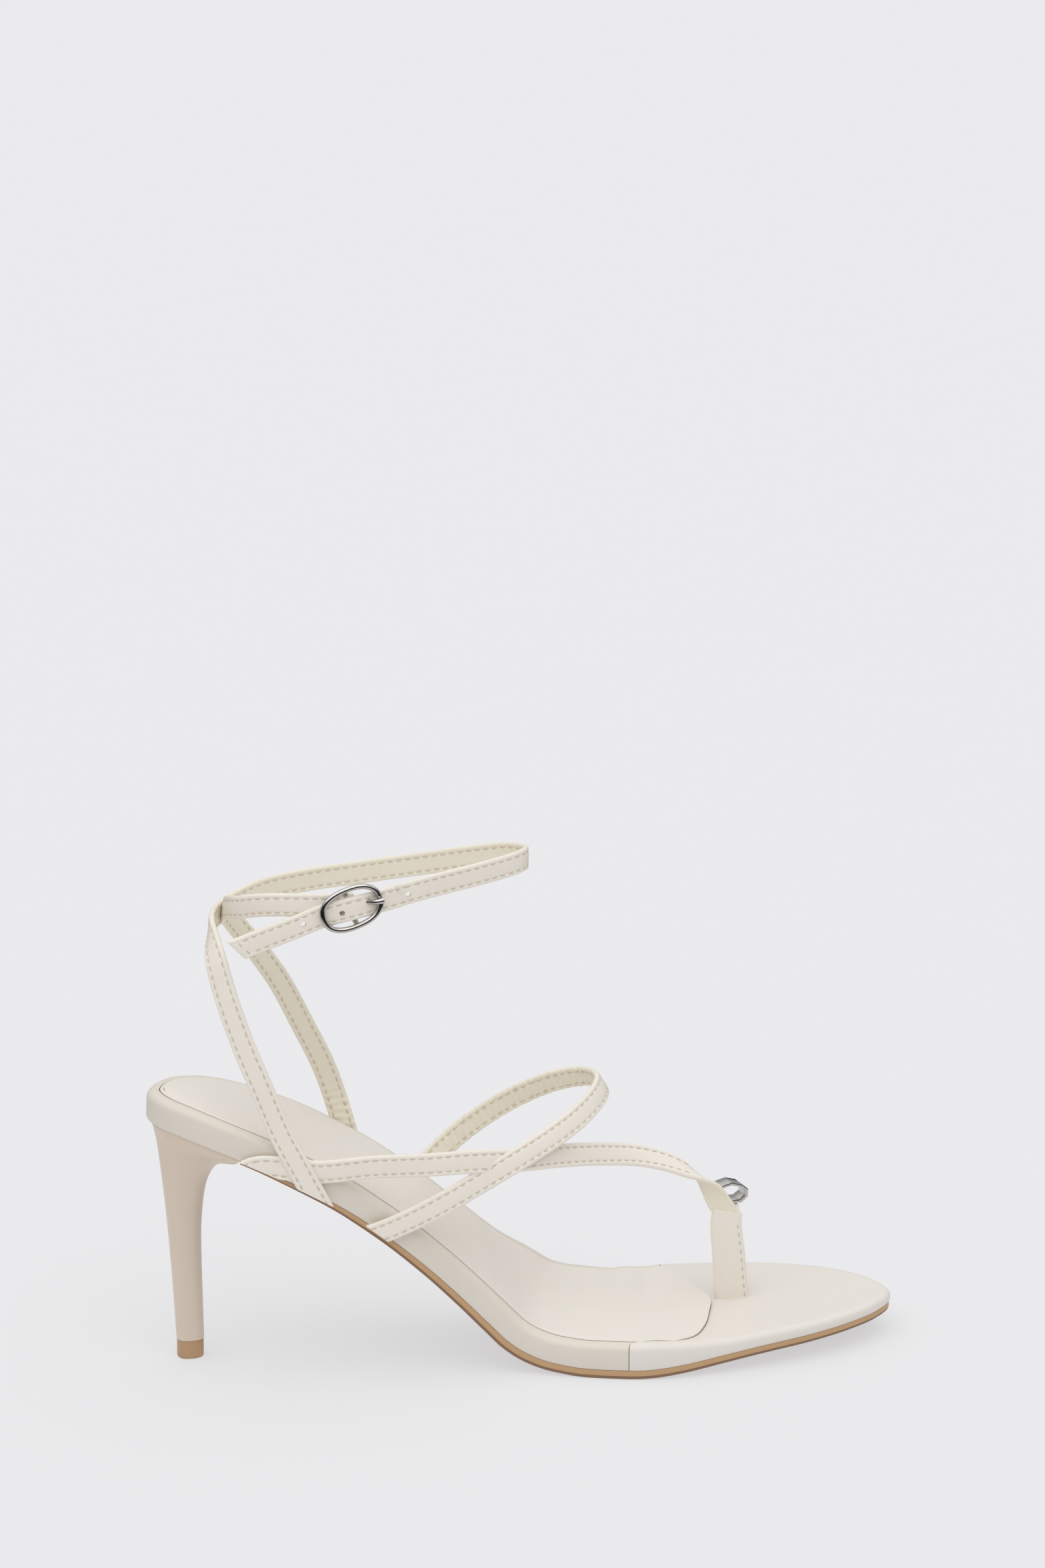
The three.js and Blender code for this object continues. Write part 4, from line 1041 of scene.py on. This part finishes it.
def ring_form():
    """A faceted band with softened edges."""
    place, _ = on_post(1, 0)
    corner = place + np.array((
        RING_AHEAD, POST_THICKNESS / 2 + GAP + RING_BACK, RING_HEIGHT / 2 + RING_LIFT))
    lean = math.radians(RING_TURN)
    along = np.array((math.cos(lean), math.sin(lean), 0))
    inward = np.array((-math.sin(lean), math.cos(lean), 0))
    rings = []
    for wall, depth in ((0, 0), (0, RING_DEPTH), (RING_WALL, RING_DEPTH), (RING_WALL, 0)):
        rings.append([
            corner + along * a * (RING_LENGTH / 2 - wall) + inward * depth
            + np.array((0, 0, u * (RING_HEIGHT / 2 - wall))) for a, u in RING])
    points = [p for ring in rings for p in ring]
    piece = make("toe_ring_band", points, skin(rings, closed=True), keep_sharp=20)
    work = bmesh.new()
    work.from_mesh(piece.data)
    bmesh.ops.bevel(
        work, geom=list(work.edges), offset=RING_BEVEL * MM, segments=2, affect="EDGES", profile=0.6)
    work.to_mesh(piece.data)
    work.free()
    piece.data.set_sharp_from_angle(angle=math.radians(20))
    return piece


# Materials.

def linear(r, g, b):
    """A colour as seen on a screen, in the shader's own scale."""
    def one(value):
        share = value / 255
        return share / 12.92 if share <= 0.04045 else ((share + 0.055) / 1.055) ** 2.4
    return (one(r), one(g), one(b), 1)


def material(name, colour, roughness, metallic=0, grain=0, grain_size=0.6, mottle=0, coat=0, specular=0.5):
    """A surface with fine grain in its bump, and slow changes of shade and gloss."""
    made = bpy.data.materials.new(name)
    made.use_nodes = True
    nodes, links = made.node_tree.nodes, made.node_tree.links
    shader = nodes["Principled BSDF"]
    shader.inputs["Metallic"].default_value = metallic
    shader.inputs["Coat Weight"].default_value = coat
    shader.inputs["Coat Roughness"].default_value = 0.35
    shader.inputs["Specular IOR Level"].default_value = specular
    where = nodes.new("ShaderNodeTexCoord")

    slow = nodes.new("ShaderNodeTexNoise")
    slow.inputs["Scale"].default_value = 45
    slow.inputs["Detail"].default_value = 3
    links.new(where.outputs["Object"], slow.inputs["Vector"])

    shade = nodes.new("ShaderNodeMix")
    shade.data_type = "RGBA"
    base = np.array(linear(*colour))
    shade.inputs["A"].default_value = (*(base[:3] * (1 - mottle)), 1)
    shade.inputs["B"].default_value = (*np.minimum(base[:3] * (1 + mottle), 1), 1)
    links.new(slow.outputs["Fac"], shade.inputs["Factor"])
    links.new(shade.outputs["Result"], shader.inputs["Base Color"])

    gloss = nodes.new("ShaderNodeMapRange")
    gloss.inputs["To Min"].default_value = roughness * 0.88
    gloss.inputs["To Max"].default_value = roughness * 1.12
    links.new(slow.outputs["Fac"], gloss.inputs["Value"])
    links.new(gloss.outputs["Result"], shader.inputs["Roughness"])

    if grain:
        cells = nodes.new("ShaderNodeTexVoronoi")
        cells.feature = "SMOOTH_F1"
        cells.inputs["Scale"].default_value = 1 / (grain_size * MM)
        links.new(where.outputs["Object"], cells.inputs["Vector"])
        fine = nodes.new("ShaderNodeTexNoise")
        fine.inputs["Scale"].default_value = 0.5 / (grain_size * MM)
        fine.inputs["Detail"].default_value = 4
        links.new(where.outputs["Object"], fine.inputs["Vector"])
        both = nodes.new("ShaderNodeMath")
        both.operation = "ADD"
        links.new(cells.outputs["Distance"], both.inputs[0])
        links.new(fine.outputs["Fac"], both.inputs[1])
        bump = nodes.new("ShaderNodeBump")
        bump.inputs["Strength"].default_value = grain
        bump.inputs["Distance"].default_value = 0.05 * MM
        links.new(both.outputs["Value"], bump.inputs["Height"])
        links.new(bump.outputs["Normal"], shader.inputs["Normal"])
    return made


LEATHER = material("strap_leather", (240, 233, 222), 0.42, grain=0.3, grain_size=0.45, mottle=0.02)
WRAP = material("wrap_leather", (231, 225, 217), 0.42, grain=0.3, grain_size=0.45, mottle=0.02)
# Painted shade: the platform's wrap is the toe cover's leather made darker, because the rear wall reads shaded.
WALL_WRAP_PAINTED_SHADE = material("wall_wrap_leather_painted_shade", (225, 217, 205), 0.42, grain=0.3, grain_size=0.45, mottle=0.02)
LINING = material("lining", (236, 229, 211), 0.6, grain=0.5, grain_size=0.35, mottle=0.03)
SOCK = material("sock", (233, 227, 219), 0.55, grain=0.35, grain_size=0.4, mottle=0.02)
# Painted shade: a dark colour on the sock's steep edge faces stands in for the shade in the crevice beside the
# rim.
PAINTED_SEAM_SHADE = material("sock_seam_painted_shade", (176, 164, 149), 0.7, mottle=0.03)
HEEL_COVER = material("heel_cover", (219, 203, 185), 0.4, grain=0.15, grain_size=0.4, mottle=0.02, coat=0.1)
SOLE = material("outsole_edge", (196, 158, 116), 0.5, grain=0.4, grain_size=0.5, mottle=0.06)
# Painted shade: a dark brown on the outsole's downward faces stands in for the shade under the sole's edge.
PAINTED_SOLE_SHADE = material("outsole_under_painted_shade", (136, 104, 78), 0.55, grain=0.4, grain_size=0.5, mottle=0.06)
TOP_PIECE = material("top_piece", (186, 150, 112), 0.5, grain=0.3, grain_size=0.5, mottle=0.05)
THREAD = material("thread", (210, 199, 180), 0.75, grain=0.5, grain_size=0.12, mottle=0.05)
SILVER = material("silver", (194, 191, 188), 0.12, metallic=1, mottle=0.01)


def dress(piece, node, slot, *materials):
    """Gives a piece its materials, hangs it on the root body, and hides the CAD node it stands for."""
    for one in materials:
        piece.data.materials.append(one)
    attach(piece, "root")
    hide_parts(node)


def line_inside(piece, route):
    """The faces that look to the foot take the lining, which is the second material."""
    mesh = piece.data
    centres = np.array([tuple(p.center) for p in mesh.polygons]) / MM - ORIGIN
    normals = np.array([tuple(p.normal) for p in mesh.polygons])
    run = np.linspace(0, route.length, int(route.length / 2))
    _, middle, across, out = route.at(run)
    for start in range(0, len(centres), 4000):
        some = centres[start:start + 4000]
        near = np.argmin(np.sum((some[:, None, :] - middle[None]) ** 2, axis=2), axis=1)
        away = np.sum(normals[start:start + 4000] * out[near], axis=1)
        depth = np.sum((some - middle[near]) * out[near], axis=1)
        inside = (away < -0.2) & (depth < 0)
        for offset in np.nonzero(inside)[0]:
            mesh.polygons[start + int(offset)].material_index = 1


def paint_shade_on_turned_faces(piece, level):
    """Faces that look up from the sole's slope by less than level take the second material, a painted shade."""
    for face in piece.data.polygons:
        place = np.array(tuple(face.center)) / MM - ORIGIN
        ahead = above_sole(place[:1] + 1, place[1:2], 0)[0]
        behind = above_sole(place[:1] - 1, place[1:2], 0)[0]
        along = unit(ahead - behind)
        up = np.array((-along[2], 0, along[0]))
        face.material_index = int(np.dot(up, face.normal) < level)


def folds(low, high, pitch, depth):
    """Fine creases across the lining between two shares of a strap's length."""
    def lift(run, share, a):
        swing = 0.05
        zone = ease(share, low - swing, low + swing) * (1 - ease(share, high - swing, high + swing))
        turn = 2 * np.pi * run / pitch
        wave = sum(
            size * np.sin(rate * turn + skew * a)
            for size, rate, skew in ((1, 1, 0.5), (0.6, 0.61, 1.3), (0.4, 0.37, -0.8)))
        return -depth * zone * wave
    return lift


def build_bottom():
    block = ahead_of_seam(COVER_SEAM_GAP)
    core = platform_form("core", -COVER_THICKNESS - GAP, OUTSOLE_THICKNESS)
    carve(block, core)
    platform = carve(platform_form("platform_wrap", 0), block)
    bed = carve(sock_bed(), ahead_of_seam(0))
    carve(platform, bed)
    # The platform takes the darker, painted-shade copy of the wrap leather.
    dress(platform, "platform", "wrap", WALL_WRAP_PAINTED_SHADE)

    cover = carve(platform_form("toe_cover", COVER_PROUD), ahead_of_seam(0), "INTERSECT")
    hollow = platform_form("hollow", -COVER_THICKNESS, OUTSOLE_THICKNESS)
    carve(cover, hollow)
    dress(cover, "forepart_cover", "wrap", WRAP)

    sock = carve(sock_form(), ahead_of_seam(SEAM_GAP))
    dress(sock, "sock_lining", "sock", SOCK, PAINTED_SEAM_SHADE)
    # The sock's steep edge faces take the painted crevice shade.
    paint_shade_on_turned_faces(sock, SOCK_SHADE_LEVEL)

    breast = HEEL_SET * HEEL[0][1] + HEEL_SEAT_LENGTH + SEAM_GAP
    far = 300
    outsole = carve(outsole_form(), box_between((-far, -far, -far), (breast, far, far)))
    dress(outsole, "outsole", "outsole", SOLE, PAINTED_SOLE_SHADE)
    # The outsole's downward faces take the painted shade.
    paint_shade_on_turned_faces(outsole, SOLE_SHADE_LEVEL)


def build_heel():
    dress(heel_form(), "heel", "heel_cover", HEEL_COVER)
    dress(top_piece_form(), "heel_tip", "top_piece", TOP_PIECE)


def sew(name, route, shape, lines, faces=(1, -1)):
    sewn = carve(stitches(name + "_stitches", route, shape, lines, faces), under_sole())
    dress(sewn, "upper", "straps", THREAD)


def build_straps():
    slant = math.tan(math.radians(FREE_END_TURN))
    reach = STRAP_WIDTH / 2 - STITCH_INSET
    # Columns: name, rows, slant of the end, length left unsewn there, folds in the lining.
    table = [
        ("ankle_strap", ankle_rows(), slant, END_STITCH_BACK, folds(0.22, 0.4, 2.6, 0.07)),
        ("buckle_strap", buckle_strap_rows(), 0, 1, folds(0.06, 0.18, 2.4, 0.11)),
        ("post_strap", post_rows(), 0, TWIST_BARE, None),
        ("instep_loop", instep_rows(), 0, 1, folds(0.55, 0.92, 2.3, 0.11)),
    ]
    for name, rows, slanted, back, creases in table:
        piece, route = strap(name, rows, slant=slanted, round_end=slanted > 0, creases=creases)
        carve(piece, under_sole())
        if slanted:
            for hole in HOLES:
                carve(piece, hole_tool(*hole))
        dress(piece, "upper", "straps", LEATHER, LINING)
        line_inside(piece, route)
        end = route.length - back
        lines = [edge_line(side, 1, end - slanted * side * reach) for side in (1, -1)]
        if slanted:
            lines.append(end_line(end, reach, slanted))
        sew(name, route, even_shape, lines)
        if name == "buckle_strap":
            sew("fold", route, even_shape, [end_line(route.length - FOLD_STITCH_BACK, reach)])

    post, route = strap("toe_post", toe_post_rows(), post_shape, POST_SECTION, POST_MIDDLE)
    dress(post, "upper", "straps", LEATHER)
    sew("toe_post", route, post_shape, [edge_line(1, POST_STITCH_START, route.length - POST_DEPTH)], faces=(1,))
    tab, _ = strap("ring_tab", tab_rows(), tab_shape, POST_SECTION, POST_MIDDLE)
    dress(tab, "upper", "straps", LEATHER)
    dress(fold_eye(), "upper", "straps", LEATHER)


def build_metal():
    for piece, node in buckle_pieces():
        dress(piece, node, "silver", SILVER)
    dress(ring_form(), "toe_ring", "silver", SILVER)


# Where the one broad light stands, seen from the shoe. The lit floor's reach is in metres.
LIGHT_FROM = (-0.2, -0.65, 1.3)
FLOOR_COLOUR = (233, 233, 235)
FLOOR_GLOW = 0.68
LIT_FLOOR = (0.2, 0.4)
FLOOR_HALF = 8
LAMP_STRENGTH = 0.8
LAMP_SPREAD = 70
WORLD_STRENGTH = 0.85

# How the room's light changes with a direction's height or its side: from, to, and the light at
# each. The first is the light that falls on things, and the others are what the metal mirrors.
SKY = (0.02, 0.55, 0.3, 1)
ROOM = (-0.6, 0.6, 0.05, 0.5)
CEILING = (0.25, 0.6, 0, 1)
CEILING_LIGHT = 1.1


def fade(nodes, links, value, start, end, low, high):
    """A smooth change from low to high while the value goes from start to end."""
    node = nodes.new("ShaderNodeMapRange")
    node.interpolation_type = "SMOOTHSTEP"
    ends = {"From Min": start, "From Max": end, "To Min": low, "To Max": high}
    for name, number in ends.items():
        node.inputs[name].default_value = number
    links.new(value, node.inputs["Value"])
    return node.outputs["Result"]


def floor_material():
    """Pale paper that glows, so that shadows stay faint. Far off, the metal mirrors it dark."""
    made = material("floor_paper", FLOOR_COLOUR, 0.9, specular=0.1)
    nodes, links = made.node_tree.nodes, made.node_tree.links
    shader = nodes["Principled BSDF"]
    base = np.array(linear(*FLOOR_COLOUR))[:3]
    where = nodes.new("ShaderNodeTexCoord")
    distance = nodes.new("ShaderNodeVectorMath")
    distance.operation = "LENGTH"
    links.new(where.outputs["Object"], distance.inputs[0])
    path = nodes.new("ShaderNodeLightPath")
    near = fade(nodes, links, distance.outputs["Value"], *LIT_FLOOR, 1, 0)
    keep = nodes.new("ShaderNodeMix")
    keep.inputs["A"].default_value = 1
    links.new(path.outputs["Is Glossy Ray"], keep.inputs["Factor"])
    links.new(near, keep.inputs["B"])
    links.new(keep.outputs["Result"], shader.inputs["Emission Strength"])
    shader.inputs["Emission Color"].default_value = (*(base * FLOOR_GLOW), 1)
    shade = nodes.new("ShaderNodeMix")
    shade.data_type = "RGBA"
    shade.inputs["A"].default_value = (0, 0, 0, 1)
    shade.inputs["B"].default_value = (*(base * (1 - FLOOR_GLOW)), 1)
    links.new(keep.outputs["Result"], shade.inputs["Factor"])
    links.new(shade.outputs["Result"], shader.inputs["Base Color"])
    return made


def build_studio():
    mesh = bpy.data.meshes.new("floor")
    corners = [(x * FLOOR_HALF, y * FLOOR_HALF, 0) for x, y in ((-1, -1), (1, -1), (1, 1), (-1, 1))]
    mesh.from_pydata(corners, [], [(0, 1, 2, 3)])
    floor = bpy.data.objects.new("floor", mesh)
    bpy.context.scene.collection.objects.link(floor)
    floor.data.materials.append(floor_material())

    world = bpy.data.worlds.new("studio")
    bpy.context.scene.world = world
    world.use_nodes = True
    nodes, links = world.node_tree.nodes, world.node_tree.links
    where = nodes.new("ShaderNodeTexCoord")
    split = nodes.new("ShaderNodeSeparateXYZ")
    links.new(where.outputs["Generated"], split.inputs["Vector"])
    lit = fade(nodes, links, split.outputs["Z"], *SKY)
    side = fade(nodes, links, split.outputs["Y"], *ROOM)
    above = fade(nodes, links, split.outputs["Z"], *CEILING)
    mirrored = nodes.new("ShaderNodeMix")
    mirrored.inputs["B"].default_value = CEILING_LIGHT
    links.new(above, mirrored.inputs["Factor"])
    links.new(side, mirrored.inputs["A"])
    path = nodes.new("ShaderNodeLightPath")
    seen = nodes.new("ShaderNodeMix")
    links.new(path.outputs["Is Glossy Ray"], seen.inputs["Factor"])
    links.new(lit, seen.inputs["A"])
    links.new(mirrored.outputs["Result"], seen.inputs["B"])
    background = nodes["Background"]
    background.inputs["Strength"].default_value = WORLD_STRENGTH
    links.new(seen.outputs["Result"], background.inputs["Color"])

    lamp = bpy.data.lights.new("softbox", "SUN")
    lamp.energy = LAMP_STRENGTH
    lamp.angle = math.radians(LAMP_SPREAD)
    holder = bpy.data.objects.new("softbox", lamp)
    holder.rotation_euler = (-Vector(LIGHT_FROM)).to_track_quat("-Z", "Y").to_euler()
    bpy.context.scene.collection.objects.link(holder)


# The camera, as the photograph was taken: its place, and how far it turns and looks down.
CAMERA_PLACE = (-132.32, -2346.14, 845.08)
CAMERA_TURN = 6
CAMERA_DOWN = 15.8
LENS = 187.74


def build_camera():
    lens = bpy.data.cameras.new("camera")
    lens.lens = LENS
    lens.sensor_width = 36
    lens.clip_start, lens.clip_end = 0.05, 40
    holder = bpy.data.objects.new("camera", lens)
    holder.location = Vector((np.array(CAMERA_PLACE) + ORIGIN) * MM)
    holder.rotation_euler = (math.radians(90 - CAMERA_DOWN), 0, math.radians(-CAMERA_TURN))
    bpy.context.scene.collection.objects.link(holder)
    bpy.context.scene.camera = holder


build_camera()
build_studio()
build_bottom()
build_heel()
build_straps()
build_metal()

bpy.context.scene.view_settings.view_transform = "Standard"
